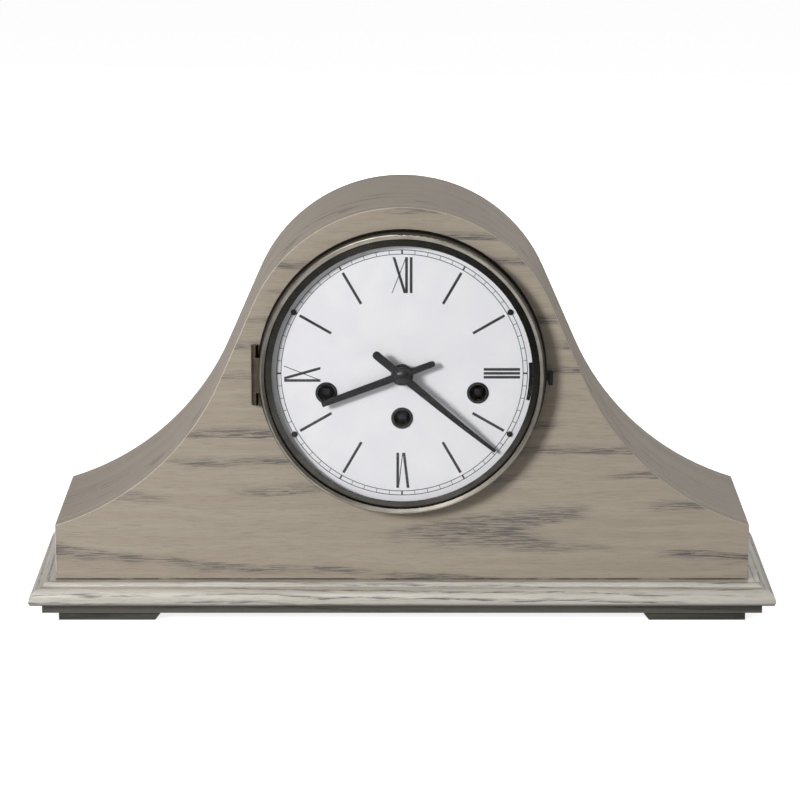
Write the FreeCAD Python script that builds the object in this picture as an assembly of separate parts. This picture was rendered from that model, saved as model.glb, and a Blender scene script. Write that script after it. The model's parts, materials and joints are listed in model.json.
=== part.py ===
# A mantel clock with a humped wooden case, a glazed dial door and a key-wound chiming movement.
# Lengths are in millimetres and angles in degrees. X runs right, Y runs back and Z runs up, and
# the origin is on the table under the middle. A value whose name ends in F is a place counted
# forwards from the wooden front face, so the inside of the case has negative ones.
import FreeCAD, Part
import math
import os

V = FreeCAD.Vector

# Fits that many pieces share
RUN = 0.05                      # radial room round a shaft that turns in a hole
GAP = 0.3                       # room between pieces that pass each other
OVERRUN = 1.0                   # how far a cutter reaches past what it cuts

# Case outline and its boards
CASE_HALF_WIDTH = 206.8
CASE_HEIGHT = 225.2
CASE_DEPTH = 122.0
ARCH_MARGIN = 11.2              # wood that shows round the top of the door
SWEEP_SHARE = 0.9405            # of the largest hollow that still meets the arch
END_HEIGHT = 33.4
END_SLOPE = 17.1                # fall of the sweep where it meets the end wall
FRONT_T = 12.0
WALL_T = 8.0
BACK_T = 6.0

# Plinth moulding, outwards from the case and down from its foot
PLINTH_H = 18.5
PLINTH_BACK = 8.3
LEDGE_OUT = 6.6
LEDGE_DROP = 0.6
COVE_OUT = 9.3
COVE_DROP = 2.8
NOSE_OUT = 15.45
NOSE_DROP = 10.5
LIP_OUT = 14.6
LIP_DROP = 12.3
NECK_OUT = 8.0
NECK_DROP = 14.5

# Feet
FOOT_H = 5.0
FOOT_INSET = 1.8
FOOT_L = 61.4
FOOT_BEVEL = 3.9
FOOT_DEPTH = 24.0
FOOT_SET_BACK = 2.5

# Dial and the ring that carries it
DIAL_R = 77.6
DIAL_T = 1.0
DIAL_F = 4.3
DIAL_BELOW_ARCH = 2.8           # from the arch's centre down to the dial's
DIAL_SEAT_W = 8.1
HOLE_GAP = 0.5                  # room round the ring in the front board
FLANGE_OUT = 7.8
FLANGE_T = 0.6
DIAL_SCREW_IN = 4.3
DIAL_SCREW_ANGLE = 30.0         # above and below the horizontal, on both sides
DIAL_SCREW_R = 1.0
DIAL_SCREW_L = 12.0
DIAL_SCREW_HEAD_R = 1.7
DIAL_SCREW_HEAD_T = 0.6
CENTRE_HOLE_R = 4.0

# Winding squares, placed by shares of the dial's radius, and the collars round their holes
SIDE_WIND_X_SHARE = 0.57474
SIDE_WIND_DROP_SHARE = 0.15206
TIME_WIND_DROP_SHARE = 0.34794
GROMMET_R = 6.45
GROMMET_NECK_R = 5.7
GROMMET_BORE_R = 5.0
GROMMET_LIP_T = 0.5
WINDING_R = 2.5
WINDING_SQUARE = 3.8
WINDING_SQUARE_L = 14.0
WINDING_END_F = 1.0

# Chime and silent lever
SLOT_IN = 1.75                  # from the dial's edge in to the middle of the slot
SLOT_HALF = 1.15
LEVER_REST = -9.5               # angle above the horizontal
LEVER_TRAVEL = 11.5             # angle that the lever moves through
LEVER_PLAY = 2.95               # angle of slot left over at each end of its travel
LEVER_STRIP_W = 4.25
LEVER_STRIP_HALF_ANGLE = 3.5
LEVER_PIN_R = 0.8
LEVER_PIN_OUT = 1.4
LEVER_T = 0.8

# Door: bezel, inner ring, glass, retainer and pull
BEZEL_OUT = 6.6                 # from the dial's edge out to the bezel's
BEZEL_W = 3.1
BEZEL_BACK_F = 0.9
CREST_F = 10.8
CREST_ROUND = 1.3
GROOVE_F = 10.0
GLASS_ROOM = 2.1
GLASS_LAP = 2.2
INNER_RING_T = 0.5
INNER_RING_FALL = 0.9
GLASS_EDGE_F = 8.0
GLASS_RISE = 12.5
GLASS_T = 1.8
RETAINER_LAP = 0.8
RETAINER_T = 0.6
TAB_NECK_L = 2.1
TAB_W = 2.5
TAB_H = 8.5
TAB_DROP = 3.3
TAB_NECK_H = 3.6
TAB_NECK_T = 1.2
TAB_T = 3.2

# Door hinge on the left of the bezel
HINGE_OUT = 2.6                 # from the bezel's edge out to the pin
HINGE_F = 2.3
HINGE_DROP = 1.4
HINGE_L = 36.0
KNUCKLE_R = 2.0
OUTER_KNUCKLE_L = 7.3
HINGE_PIN_R = 0.9
KNUCKLE_GAP = 0.15
LEAF_T = 0.6
LEAF_MARGIN = 4.0
DOOR_LEAF_T = 1.2

# Hands
HOUR_HAND_F = 9.6
HAND_T = 0.9
HOUR_HAND_AT = 249.5            # clockwise from the top
HOUR_SHARE = 0.7                # of the minute hand's length
HOUR_TAIL = 20.6
HOUR_BROAD = 4.3
HOUR_NARROW = 3.6
HOUR_HUB_R = 6.6
MINUTE_HAND_F = 13.4
MINUTE_HAND_AT = 130.2
MINUTE_SHORT = 5.6              # from the minute hand's tip to the dial's edge
MINUTE_TAIL = 21.8
MINUTE_BROAD = 4.6
MINUTE_POINT = 1.9
MINUTE_TAIL_BROAD = 4.8
MINUTE_BEND_FROM = 25.0         # along the hand, where it starts to curve down to the dial
MINUTE_DROP = 5.6
MINUTE_HUB_R = 5.2
HAND_NUT_R = 3.7
HAND_NUT_L = 2.4

# Movement plates, with the spacers placed by shares of the radius of the hole in front of them
SPACER_L = 4.0
SPACER_R = 3.8
SPACER_X_SHARE = 0.87857
SPACER_UP_SHARE = 0.67857
PLATE_T = 1.8
PLATE_GAP_SHARE = 5 / 13        # of the depth inside the case
PLATE_EDGE_W = 4.5
PLATE_CORNER = 5.0
MOVEMENT_SCREW_R = 1.6
MOVEMENT_SCREW_HEAD_R = 3.0
MOVEMENT_SCREW_HEAD_T = 1.8
MOVEMENT_SCREW_BITE = 9.0
PILLAR_R = 3.5
STUD_R = 1.8
NUT_R = 3.6
NUT_T = 2.5
TOP_PILLAR_SIDE = 14.0          # from the plate's edges in to the upper pillars
TOP_PILLAR_DROP = 10.0
LOW_PILLAR_SIDE = 4.0
LOW_PILLAR_RISE = 12.0

# Toothed wheels: teeth, module and the share of the pitch that each tooth takes
GREAT_TEETH = 84
CENTRE_PINION_TEETH = 8
CENTRE_TEETH = 64
THIRD_TEETH = 60
TRAIN_PINION_TEETH = 8
DRUM_PINION_TEETH = 12
CHIME_TEETH = 48
STRIKE_PINION_TEETH = 10
STRIKE_TEETH = 60
CANNON_TEETH = 12
MINUTE_TEETH = 36
MINUTE_PINION_TEETH = 10
HOUR_TEETH = 40
TRAIN_MODULE_SHARE = 0.85185    # of the great wheels' module
MOTION_MODULE = 0.5
WHEEL_TOOTH_SHARES = (0.7, 1.1, 0.22, 0.10)     # tip, root, width at root, width at tip
PINION_TOOTH_SHARES = (0.5, 1.1, 0.20, 0.10)
WHEEL_T = 1.5
GREAT_WHEEL_T = 2.0
PINION_L = 3.4
ARBOR_R = 1.0
PIVOT_R = 0.7

# Places and depths in the trains
DRUM_SHARE = 0.8113             # of the great wheel's radius
TIME_DRUM_ROOM = 17.0           # of the gap between the plates that a drum leaves over
SIDE_DRUM_ROOM = 15.0
TIME_GREAT_BEHIND = 2.2         # behind the front plate
SIDE_GREAT_AHEAD = 2.8          # ahead of the back plate
DRUM_CLEAR = 2.5                # from a drum's end to the next wheel
THIRD_WHEEL_AHEAD = 4.5         # third wheel ahead of its own pinion
THIRD_ANGLE = 45.0
CHIME_DRUM_ANGLE = -112.0       # seen from the chime barrel
CHIME_FLY_ANGLE = -30.0
STRIKE_ANGLE = 100.0
STRIKE_FLY_ANGLE = 60.0
MINUTE_ANGLE = 150.0
CHIME_WHEEL_BEHIND = 6.2
STRIKE_WHEEL_BEHIND = 4.2
FLY_HALF_L = 9.0
FLY_T = 0.6
FLY_BEHIND = 10.0
FLY_AHEAD = 8.0                 # ahead of the back plate

# Motion work under the dial
CENTRE_ARBOR_R = 1.5
CANNON_R = 2.3
HOUR_PIPE_R = 3.4
MOTION_T = 1.4
CANNON_AHEAD = 0.4
HOUR_WHEEL_AHEAD = 1.9

# Ratchets and clicks on the front plate
RATCHET_TEETH = 20
RATCHET_R = 8.5
RATCHET_TOOTH = 1.2
RATCHET_T = 1.6
CLICK_OFFSET = 13.0
CLICK_SPREAD = 45.0
CLICK_ANGLE = 60.0
TIME_CLICK_ANGLE = -30.0
CLICK_W = 1.8
CLICK_STUD_R = 1.2

# Escapement behind the back plate
ESCAPE_TEETH = 15
ESCAPE_R = 6.5
ESCAPE_TOOTH = 1.3
ESCAPE_T = 0.8
ESCAPE_BEHIND = 2.0
PALLET_OFFSET = 8.6
PALLET_ANGLE = 40.0
PALLET_CLEAR = 0.8
PALLET_W = 0.9
PALLET_HUB_R = 1.5
BALANCE_OFFSET = 10.5
BALANCE_R = 8.5
BALANCE_RIM = 1.3
BALANCE_T = 1.2
BALANCE_BEHIND = 5.4
BALANCE_SPOKES = 3
ROLLER_R = 2.0
ROLLER_PIN_R = 0.35
COCK_FOOT_NEAR_X = 12.0
COCK_FOOT_FAR_X = 20.0
COCK_HALF_H = 4.0
COCK_BEHIND = 10.0
COCK_T = 1.6
COCK_REACH = 3.0

# Chime drum, hammers, rods and their block
CHIME_DRUM_R = 6.5
DRUM_PIN_R = 0.6
DRUM_PIN_OUT = 1.9
DRUM_PINS = 8
HAMMERS = 4
FIRST_HAMMER_BEHIND = 10.4
LAST_HAMMER_AHEAD = 6.0         # ahead of the frame's rear plate
HAMMER_HUB_SHARE = 0.5          # of the pitch of the hammers
HEAD_R_SHARE = 0.4
HAMMER_PIVOT_X = 16.0
HAMMER_PIVOT_RISE = 5.0         # above the lower edge of the plate
HAMMER_ROD_R = 1.5
HAMMER_HUB_R = 3.0
HAMMER_ARM_T = 2.0
HAMMER_ARM_W = 3.0
HAMMER_TAIL_W = 2.2
HAMMER_REACH_X = 39.0
HEAD_L = 13.0
HEAD_GAP = 1.5
FRAME_ROOM = 10.0               # from the hammer frame's rear plate to the back board
FRAME_T = 2.0
FRAME_POST_R = 2.5
FRAME_MARGIN = 7.0
ROD_R = 1.6
ROD_NECK_R = 1.0
ROD_NECK_L = 12.0
ROD_SEAT = 14.0
ROD_RISE = 31.0                 # rods above the floor of the case
ROD_END_GAP = 32.8              # from the longest rod's end to the end wall
ROD_STEP = 12.0
BLOCK_X = -94.0
BLOCK_W = 22.0
BLOCK_MARGIN = 6.0
BLOCK_TOP = 8.0

# Door at the back
BACK_SILL = 20.0
BACK_FRAME_W = 19.4
BACK_DOOR_GAP = 0.6
BACK_HINGE_SHARES = (0.22769, 0.81967)          # of the height of the opening's straight sides
BACK_LEAF_H = 18.0
BACK_LEAF_W = 9.0
BACK_LEAF_T = 1.0
BACK_KNUCKLE_R = 1.8
BACK_PIN_R = 0.8
KNOB_IN = 12.0
KNOB_UP = 78.0
KNOB_R = 5.0
KNOB_NECK_R = 2.2
KNOB_NECK_L = 2.6
KNOB_L = 7.2

# Radii and side places round the dial
RING_BORE_R = DIAL_R - DIAL_SEAT_W
CASE_HOLE_R = RING_BORE_R + HOLE_GAP
FLANGE_R = DIAL_R + FLANGE_OUT
DIAL_SCREW_CIRCLE_R = DIAL_R - DIAL_SCREW_IN
SLOT_R = DIAL_R - SLOT_IN
SLOT_LOW = LEVER_REST - LEVER_PLAY
SLOT_TOP = LEVER_REST + LEVER_TRAVEL + LEVER_PLAY
LEVER_STRIP_R = SLOT_R - LEVER_STRIP_W
BEZEL_R = DIAL_R + BEZEL_OUT
BEZEL_BORE_R = BEZEL_R - BEZEL_W
GLASS_R = BEZEL_BORE_R - GLASS_ROOM
GLASS_CREST_F = GLASS_EDGE_F + GLASS_RISE
INNER_RING_R = GLASS_R - GLASS_LAP
RETAINER_BORE_R = GLASS_R - RETAINER_LAP
TAB_INNER_X = BEZEL_R + TAB_NECK_L
TAB_OUTER_X = TAB_INNER_X + TAB_W
HINGE_X = -BEZEL_R - HINGE_OUT
LEAF_REACH_X = -CASE_HOLE_R - LEAF_MARGIN
MINUTE_L = DIAL_R - MINUTE_SHORT
HOUR_L = MINUTE_L * HOUR_SHARE
SIDE_WIND_X = DIAL_R * SIDE_WIND_X_SHARE
SIDE_WIND_DROP = DIAL_R * SIDE_WIND_DROP_SHARE
TIME_WIND_DROP = DIAL_R * TIME_WIND_DROP_SHARE

# Heights of the case and the dial
CASE_Z = FOOT_H + PLINTH_H
ARCH_R = BEZEL_R + ARCH_MARGIN
ARCH = (0, CASE_Z + CASE_HEIGHT - ARCH_R)
DIAL_Z = ARCH[1] - DIAL_BELOW_ARCH
CENTRE = (0, DIAL_Z)
TIME = (0, DIAL_Z - TIME_WIND_DROP)
CHIME = (SIDE_WIND_X, DIAL_Z - SIDE_WIND_DROP)
STRIKE = (-SIDE_WIND_X, DIAL_Z - SIDE_WIND_DROP)
BACK_OPENING_R = ARCH_R - BACK_FRAME_W
BACK_SILL_Z = CASE_Z + BACK_SILL

# Depths of the boards and the plates
FACE_Y = GLASS_CREST_F - (GLASS_CREST_F + CASE_DEPTH + PLINTH_BACK) / 2
CASE_BACK_F = -CASE_DEPTH
FRONT_BACK_F = -FRONT_T
FRONT_PLATE_F = FRONT_BACK_F - SPACER_L
FRONT_INNER_F = FRONT_PLATE_F - PLATE_T
PLATE_GAP = (CASE_DEPTH - FRONT_T - BACK_T) * PLATE_GAP_SHARE
BACK_INNER_F = FRONT_INNER_F - PLATE_GAP
BACK_PLATE_F = BACK_INNER_F - PLATE_T

# Size of the plates and the great wheels
SPACER_X = CASE_HOLE_R * SPACER_X_SHARE
SPACER_UP = CASE_HOLE_R * SPACER_UP_SHARE
PLATE_HALF_WIDTH = SPACER_X + PLATE_EDGE_W
PLATE_HALF_HEIGHT = SPACER_UP + PLATE_EDGE_W
GREAT_MODULE = 2 * TIME_WIND_DROP / (GREAT_TEETH + CENTRE_PINION_TEETH)
TRAIN_MODULE = GREAT_MODULE * TRAIN_MODULE_SHARE
DRUM_R = GREAT_MODULE * GREAT_TEETH / 2 * DRUM_SHARE


def at(x, f, z):
    """Point x to the right, f ahead of the wooden face and z above the table."""
    return V(x, FACE_Y - f, z)


def polar(place, radius, degrees):
    """Place at a radius and an angle, counted up from the right as seen from the front."""
    angle = math.radians(degrees)
    return place[0] + radius * math.cos(angle), place[1] + radius * math.sin(angle)


def bar(place, radius, low, high):
    """Round bar along the depth between two places counted from the face."""
    return Part.makeCylinder(radius, high - low, at(place[0], high, place[1]), V(0, 1, 0))


def drilled(piece, place, radius, low, high):
    """The piece with a round hole through it along the depth."""
    return piece.cut(bar(place, radius, low - OVERRUN, high + OVERRUN))


def tube(place, radius, bore, low, high):
    return drilled(bar(place, radius, low, high), place, bore, low, high)


def plate(points, low, high):
    """Flat piece with a straight-sided outline."""
    corners = [at(x, high, z) for x, z in points]
    face = Part.Face(Part.makePolygon(corners + corners[:1]))
    return face.extrude(V(0, high - low, 0))


def block(x0, x1, low, high, z0, z1):
    return Part.makeBox(x1 - x0, high - low, z1 - z0, at(x0, high, z0))


def arm(start, end, width, low, high):
    """Straight arm of even width with a round far end."""
    length = math.dist(start, end)
    across = ((start[1] - end[1]) / length * width / 2, (end[0] - start[0]) / length * width / 2)
    points = [(start[0] + across[0], start[1] + across[1]), (start[0] - across[0], start[1] - across[1]),
              (end[0] - across[0], end[1] - across[1]), (end[0] + across[0], end[1] + across[1])]
    return plate(points, low, high).fuse(bar(end, width / 2, low, high)).removeSplitter()


def turned(place, edges):
    """Solid turned about an axis along the depth, from edges given by at()."""
    face = Part.Face(Part.Wire(edges))
    return face.revolve(at(place[0], 0, place[1]), V(0, 1, 0), 360)


def profile_edges(place, points):
    """Closed run of straight edges through points of radius and depth, for turned()."""
    corners = [at(place[0] + radius, f, place[1]) for radius, f in points]
    return [Part.LineSegment(a, b).toShape() for a, b in zip(corners, corners[1:] + corners[:1])]


def clockwise(piece, degrees):
    """Piece drawn upright over the dial, turned clockwise about the dial centre."""
    turned_piece = piece.copy()
    turned_piece.rotate(at(CENTRE[0], 0, CENTRE[1]), V(0, 1, 0), degrees)
    return turned_piece


def toothed(place, teeth, module, low, high, turn, shares):
    """Wheel or pinion blank with plain straight teeth; turn is the angle of one tooth."""
    tip_share, root_share, broad_share, narrow_share = shares
    pitch = 360 / teeth
    root_r = module * (teeth / 2 - root_share)
    tip_r = module * (teeth / 2 + tip_share)
    points = []
    for k in range(teeth):
        middle = turn + k * pitch
        points.append(polar(place, root_r, middle - broad_share * pitch))
        points.append(polar(place, tip_r, middle - narrow_share * pitch))
        points.append(polar(place, tip_r, middle + narrow_share * pitch))
        points.append(polar(place, root_r, middle + broad_share * pitch))
    return plate(points, low, high)


def meshed(turn, teeth, partner_teeth, direction):
    """Turn of the partner that a wheel drives, which lies from the wheel in that direction."""
    return direction + 180 - (turn - direction) * teeth / partner_teeth + 180 / partner_teeth


def pitch_distance(module, *teeth):
    return module * sum(teeth) / 2


def saw_toothed(place, teeth, radius, depth, low, high):
    """Ratchet with one steep and one long side to each tooth."""
    pitch = 360 / teeth
    points = []
    for k in range(teeth):
        points.append(polar(place, radius, k * pitch))
        points.append(polar(place, radius - depth, k * pitch))
    return plate(points, low, high)


def train_arbor(place, high=FRONT_PLATE_F, low=BACK_PLATE_F):
    """Arbor that stands between the plates on a thinner pivot at each end."""
    body = bar(place, ARBOR_R, BACK_INNER_F + GAP, FRONT_INNER_F - GAP)
    return body.fuse(bar(place, PIVOT_R, low, high)).removeSplitter()


def joined(pieces):
    whole = pieces[0]
    for piece in pieces[1:]:
        whole = whole.fuse(piece)
    return whole.removeSplitter()


def group(solids):
    return Part.makeCompound(solids)


# Places of the train arbors
THIRD = polar(CENTRE, pitch_distance(TRAIN_MODULE, CENTRE_TEETH, TRAIN_PINION_TEETH), THIRD_ANGLE)
THIRD_TO_ESCAPE = pitch_distance(TRAIN_MODULE, THIRD_TEETH, TRAIN_PINION_TEETH)
ESCAPE = (CENTRE[0], THIRD[1] + math.sqrt(THIRD_TO_ESCAPE ** 2 - (THIRD[0] - CENTRE[0]) ** 2))
ESCAPE_ANGLE = math.degrees(math.atan2(ESCAPE[1] - THIRD[1], ESCAPE[0] - THIRD[0]))
PALLET = (ESCAPE[0], ESCAPE[1] + PALLET_OFFSET)
BALANCE = (PALLET[0], PALLET[1] + BALANCE_OFFSET)
CHIME_DRUM = polar(CHIME, pitch_distance(GREAT_MODULE, GREAT_TEETH, DRUM_PINION_TEETH), CHIME_DRUM_ANGLE)
CHIME_FLY = polar(CHIME_DRUM, pitch_distance(TRAIN_MODULE, CHIME_TEETH, TRAIN_PINION_TEETH),
                  CHIME_FLY_ANGLE)
STRIKE_SECOND = polar(STRIKE, pitch_distance(GREAT_MODULE, GREAT_TEETH, STRIKE_PINION_TEETH),
                      STRIKE_ANGLE)
STRIKE_FLY = polar(STRIKE_SECOND, pitch_distance(TRAIN_MODULE, STRIKE_TEETH, TRAIN_PINION_TEETH),
                   STRIKE_FLY_ANGLE)
MINUTE = polar(CENTRE, pitch_distance(MOTION_MODULE, CANNON_TEETH, MINUTE_TEETH), MINUTE_ANGLE)
MINUTE_MODULE = 2 * math.dist(CENTRE, MINUTE) / (MINUTE_PINION_TEETH + HOUR_TEETH)

# Depths of the wheels and drums
TIME_DRUM_L = PLATE_GAP - TIME_DRUM_ROOM
SIDE_DRUM_L = PLATE_GAP - SIDE_DRUM_ROOM
TIME_GREAT_F = FRONT_INNER_F - TIME_GREAT_BEHIND
TIME_DRUM_F = TIME_GREAT_F - GREAT_WHEEL_T
SIDE_GREAT_F = BACK_INNER_F + SIDE_GREAT_AHEAD + GREAT_WHEEL_T
SIDE_DRUM_F = SIDE_GREAT_F + SIDE_DRUM_L
CENTRE_WHEEL_F = TIME_DRUM_F - TIME_DRUM_L - DRUM_CLEAR
THIRD_PINION_F = CENTRE_WHEEL_F + (PINION_L - WHEEL_T) / 2
THIRD_WHEEL_F = CENTRE_WHEEL_F + THIRD_WHEEL_AHEAD
SIDE_PINION_F = SIDE_GREAT_F + (PINION_L - GREAT_WHEEL_T) / 2
ESCAPE_F = BACK_PLATE_F - ESCAPE_BEHIND
BALANCE_F = BACK_PLATE_F - BALANCE_BEHIND
COCK_F = BACK_PLATE_F - COCK_BEHIND

# Hammers and rods
DRUM_END_F = CASE_BACK_F + BACK_T + FRAME_ROOM
FIRST_HAMMER_F = BACK_PLATE_F - FIRST_HAMMER_BEHIND
HAMMER_PITCH = (FIRST_HAMMER_F - DRUM_END_F - LAST_HAMMER_AHEAD) / (HAMMERS - 1)
HAMMER_FS = [FIRST_HAMMER_F - k * HAMMER_PITCH for k in range(HAMMERS)]
HAMMER_PIVOT = (HAMMER_PIVOT_X, DIAL_Z - PLATE_HALF_HEIGHT + HAMMER_PIVOT_RISE)
ROD_Z = CASE_Z + ROD_RISE
BLOCK_END_X = BLOCK_X + BLOCK_W
LONGEST_ROD = CASE_HALF_WIDTH - WALL_T - ROD_END_GAP - BLOCK_END_X

# The hollow sweep from the end wall up to the arch
END_TOP = (CASE_HALF_WIDTH, CASE_Z + END_HEIGHT)
SWEEP_TURN = 90 - END_SLOPE
END_PULL = polar((0, 0), 1, SWEEP_TURN)
END_ALONG = (END_TOP[0] - ARCH[0]) * END_PULL[0] + (END_TOP[1] - ARCH[1]) * END_PULL[1]
LARGEST_SWEEP_R = (math.dist(ARCH, END_TOP) ** 2 - ARCH_R ** 2) / (2 * (ARCH_R - END_ALONG))
SWEEP_R = LARGEST_SWEEP_R * SWEEP_SHARE
SWEEP = polar(END_TOP, SWEEP_R, SWEEP_TURN)
ARCH_END_ANGLE = (math.degrees(math.atan2(SWEEP[1] - ARCH[1], SWEEP[0] - ARCH[0]))
                  + math.degrees(math.acos((ARCH_R + SWEEP_R) / math.dist(ARCH, SWEEP))))


# Case

def run_of(points):
    """Edges through a closed run of places: two make a line and three an arc."""
    edges = []
    for places in points:
        ends = [at(x, 0, z) for x, z in places]
        edge = Part.Arc(*ends) if len(ends) == 3 else Part.LineSegment(*ends)
        edges.append(edge.toShape())
    return edges


def outline_edges(inset, foot_z):
    """Outline of the case: end walls, hollow sweeps, straight tangents and the round arch."""
    arch_r = ARCH_R - inset
    sweep_r = SWEEP_R + inset
    end_x = CASE_HALF_WIDTH - inset
    end_z = SWEEP[1] - math.sqrt(sweep_r ** 2 - (SWEEP[0] - end_x) ** 2)
    end_angle = math.degrees(math.atan2(end_z - SWEEP[1], end_x - SWEEP[0])) + 360
    leave = polar(ARCH, arch_r, ARCH_END_ANGLE)
    land = polar(SWEEP, -sweep_r, ARCH_END_ANGLE)
    middle = polar(SWEEP, sweep_r, (end_angle + ARCH_END_ANGLE + 180) / 2)
    foot = (end_x, foot_z)
    end = (end_x, end_z)
    top = (ARCH[0], ARCH[1] + arch_r)
    right = [(foot, end), (end, middle, land), (land, leave)]
    left = [tuple((-x, z) for x, z in reversed(places)) for places in reversed(right)]
    over = (leave, top, (-leave[0], leave[1]))
    return run_of([((-end_x, foot_z), foot), *right, over, *left])


def outline_solid(inset, foot_z, low, high):
    solid = Part.Face(Part.Wire(outline_edges(inset, foot_z))).extrude(V(0, high - low, 0))
    solid.translate(V(0, -high, 0))
    return solid


def case_front(fasteners):
    """Front board with the dial hole, a seat for the hinge leaf and holes for the screws."""
    board = outline_solid(0, CASE_Z, FRONT_BACK_F, 0)
    board = drilled(board, CENTRE, CASE_HOLE_R, FRONT_BACK_F, 0)
    return board.cut(Part.makeCompound([hinge_leaf_plate(), *fasteners]))


def case_hood():
    """Shell behind the front board: the bent arch and, glued to it, a sweep with its end wall."""
    shell = outline_solid(0, CASE_Z, CASE_BACK_F, FRONT_BACK_F)
    room = outline_solid(WALL_T, CASE_Z - OVERRUN, CASE_BACK_F - OVERRUN, FRONT_BACK_F + OVERRUN)
    shell = shell.cut(room)
    far = 2 * CASE_HEIGHT
    over = plate([ARCH, polar(ARCH, far, ARCH_END_ANGLE), (ARCH[0], ARCH[1] + far),
                  polar(ARCH, far, 180 - ARCH_END_ANGLE)], CASE_BACK_F - OVERRUN, FRONT_BACK_F + OVERRUN)
    return group([*shell.common(over).Solids, *shell.cut(over).Solids])


def back_opening(gap, low, high):
    """Round-topped doorway in the back, or the door that fills it."""
    radius = BACK_OPENING_R - gap
    sides = block(-radius, radius, low, high, BACK_SILL_Z + gap, ARCH[1])
    return sides.fuse(bar(ARCH, radius, low, high)).removeSplitter()


def back_frame():
    board = outline_solid(WALL_T, CASE_Z, CASE_BACK_F, CASE_BACK_F + BACK_T)
    return board.cut(back_opening(0, CASE_BACK_F - OVERRUN, CASE_BACK_F + BACK_T + OVERRUN))


def moulding_edges(side):
    """Right or front half of the plinth's section, from the top inwards to the foot."""
    nose_r = ((NOSE_OUT - COVE_OUT) ** 2 + (NOSE_DROP - COVE_DROP) ** 2) / (2 * (NOSE_OUT - COVE_OUT))
    nose_centre = (NOSE_OUT - nose_r, NOSE_DROP)
    rise = math.asin((NOSE_DROP - COVE_DROP) / nose_r) / 2
    nose_mid = (nose_centre[0] + nose_r * math.cos(rise), nose_centre[1] - nose_r * math.sin(rise))
    cove_mid = ((LEDGE_OUT + COVE_OUT) / 2 - (COVE_DROP - LEDGE_DROP) / 4,
                (LEDGE_DROP + COVE_DROP) / 2 + (COVE_OUT - LEDGE_OUT) / 4)
    neck_r = NECK_DROP - LIP_DROP
    neck_bend = neck_r * (1 - math.sqrt(0.5))
    p = [side(*place) for place in ((LEDGE_OUT, 0), (LEDGE_OUT, LEDGE_DROP), cove_mid,
                                    (COVE_OUT, COVE_DROP), nose_mid, (NOSE_OUT, NOSE_DROP),
                                    (LIP_OUT, LIP_DROP), (NECK_OUT + neck_r, LIP_DROP),
                                    (NECK_OUT + neck_bend, LIP_DROP + neck_bend),
                                    (NECK_OUT, NECK_DROP), (NECK_OUT, PLINTH_H))]
    return p[0], p[-1], [
        Part.LineSegment(p[0], p[1]).toShape(), Part.Arc(p[1], p[2], p[3]).toShape(),
        Part.Arc(p[3], p[4], p[5]).toShape(), Part.LineSegment(p[5], p[6]).toShape(),
        Part.LineSegment(p[6], p[7]).toShape(), Part.Arc(p[7], p[8], p[9]).toShape(),
        Part.LineSegment(p[9], p[10]).toShape()]


def plinth():
    """Moulded base board: mitred at the front corners and square at the back."""
    back = CASE_BACK_F - PLINTH_BACK
    reach = CASE_HALF_WIDTH + NOSE_OUT
    edges = []
    tops = []
    lows = []
    for side in (-1, 1):
        top, low, half = moulding_edges(
            lambda out, drop: at(side * (CASE_HALF_WIDTH + out), NOSE_OUT, CASE_Z - drop))
        edges += half
        tops.append(top)
        lows.append(low)
    edges += [Part.LineSegment(*tops).toShape(), Part.LineSegment(*lows).toShape()]
    along = Part.Face(Part.Wire(Part.sortEdges(edges)[0])).extrude(V(0, NOSE_OUT - back, 0))
    front_top, front_foot, front = moulding_edges(lambda out, drop: at(-reach, out, CASE_Z - drop))
    rear_top = at(-reach, back, CASE_Z)
    rear_foot = at(-reach, back, FOOT_H)
    section = Part.Wire(Part.sortEdges(front + [
        Part.LineSegment(front_top, rear_top).toShape(),
        Part.LineSegment(rear_top, rear_foot).toShape(),
        Part.LineSegment(rear_foot, front_foot).toShape()])[0])
    return along.common(Part.Face(section).extrude(V(2 * reach, 0, 0)))


def foot(side, low):
    """One foot, with its inner end sloped."""
    outer = side * (CASE_HALF_WIDTH - FOOT_INSET)
    inner = outer - side * FOOT_L
    points = [(outer, 0), (outer, FOOT_H), (inner, FOOT_H), (inner + side * FOOT_BEVEL, 0)]
    return plate(points, low, low + FOOT_DEPTH)


def feet():
    front = NECK_OUT - FOOT_SET_BACK - FOOT_DEPTH
    rear = CASE_BACK_F - PLINTH_BACK + FOOT_SET_BACK
    return group([foot(side, low) for side in (-1, 1) for low in (front, rear)])


# Dial

def dial_screw(degrees):
    place = polar(CENTRE, DIAL_SCREW_CIRCLE_R, degrees)
    shank = bar(place, DIAL_SCREW_R, DIAL_F - DIAL_SCREW_L, DIAL_F)
    return joined([shank, bar(place, DIAL_SCREW_HEAD_R, DIAL_F, DIAL_F + DIAL_SCREW_HEAD_T)])


def dial_screws():
    turns = [half + side * DIAL_SCREW_ANGLE for half in (0, 180) for side in (-1, 1)]
    return [dial_screw(turn) for turn in turns]


def sector(inner_r, outer_r, start, end, low, high):
    """Part of a flat ring round the dial centre between two angles."""
    middle = (start + end) / 2
    inner = [polar(CENTRE, inner_r, turn) for turn in (end, middle, start)]
    outer = [polar(CENTRE, outer_r, turn) for turn in (start, middle, end)]
    edges = run_of([(inner[2], outer[0]), outer, (outer[2], inner[0]), inner])
    solid = Part.Face(Part.Wire(edges)).extrude(V(0, high - low, 0))
    solid.translate(V(0, -high, 0))
    return solid


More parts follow.
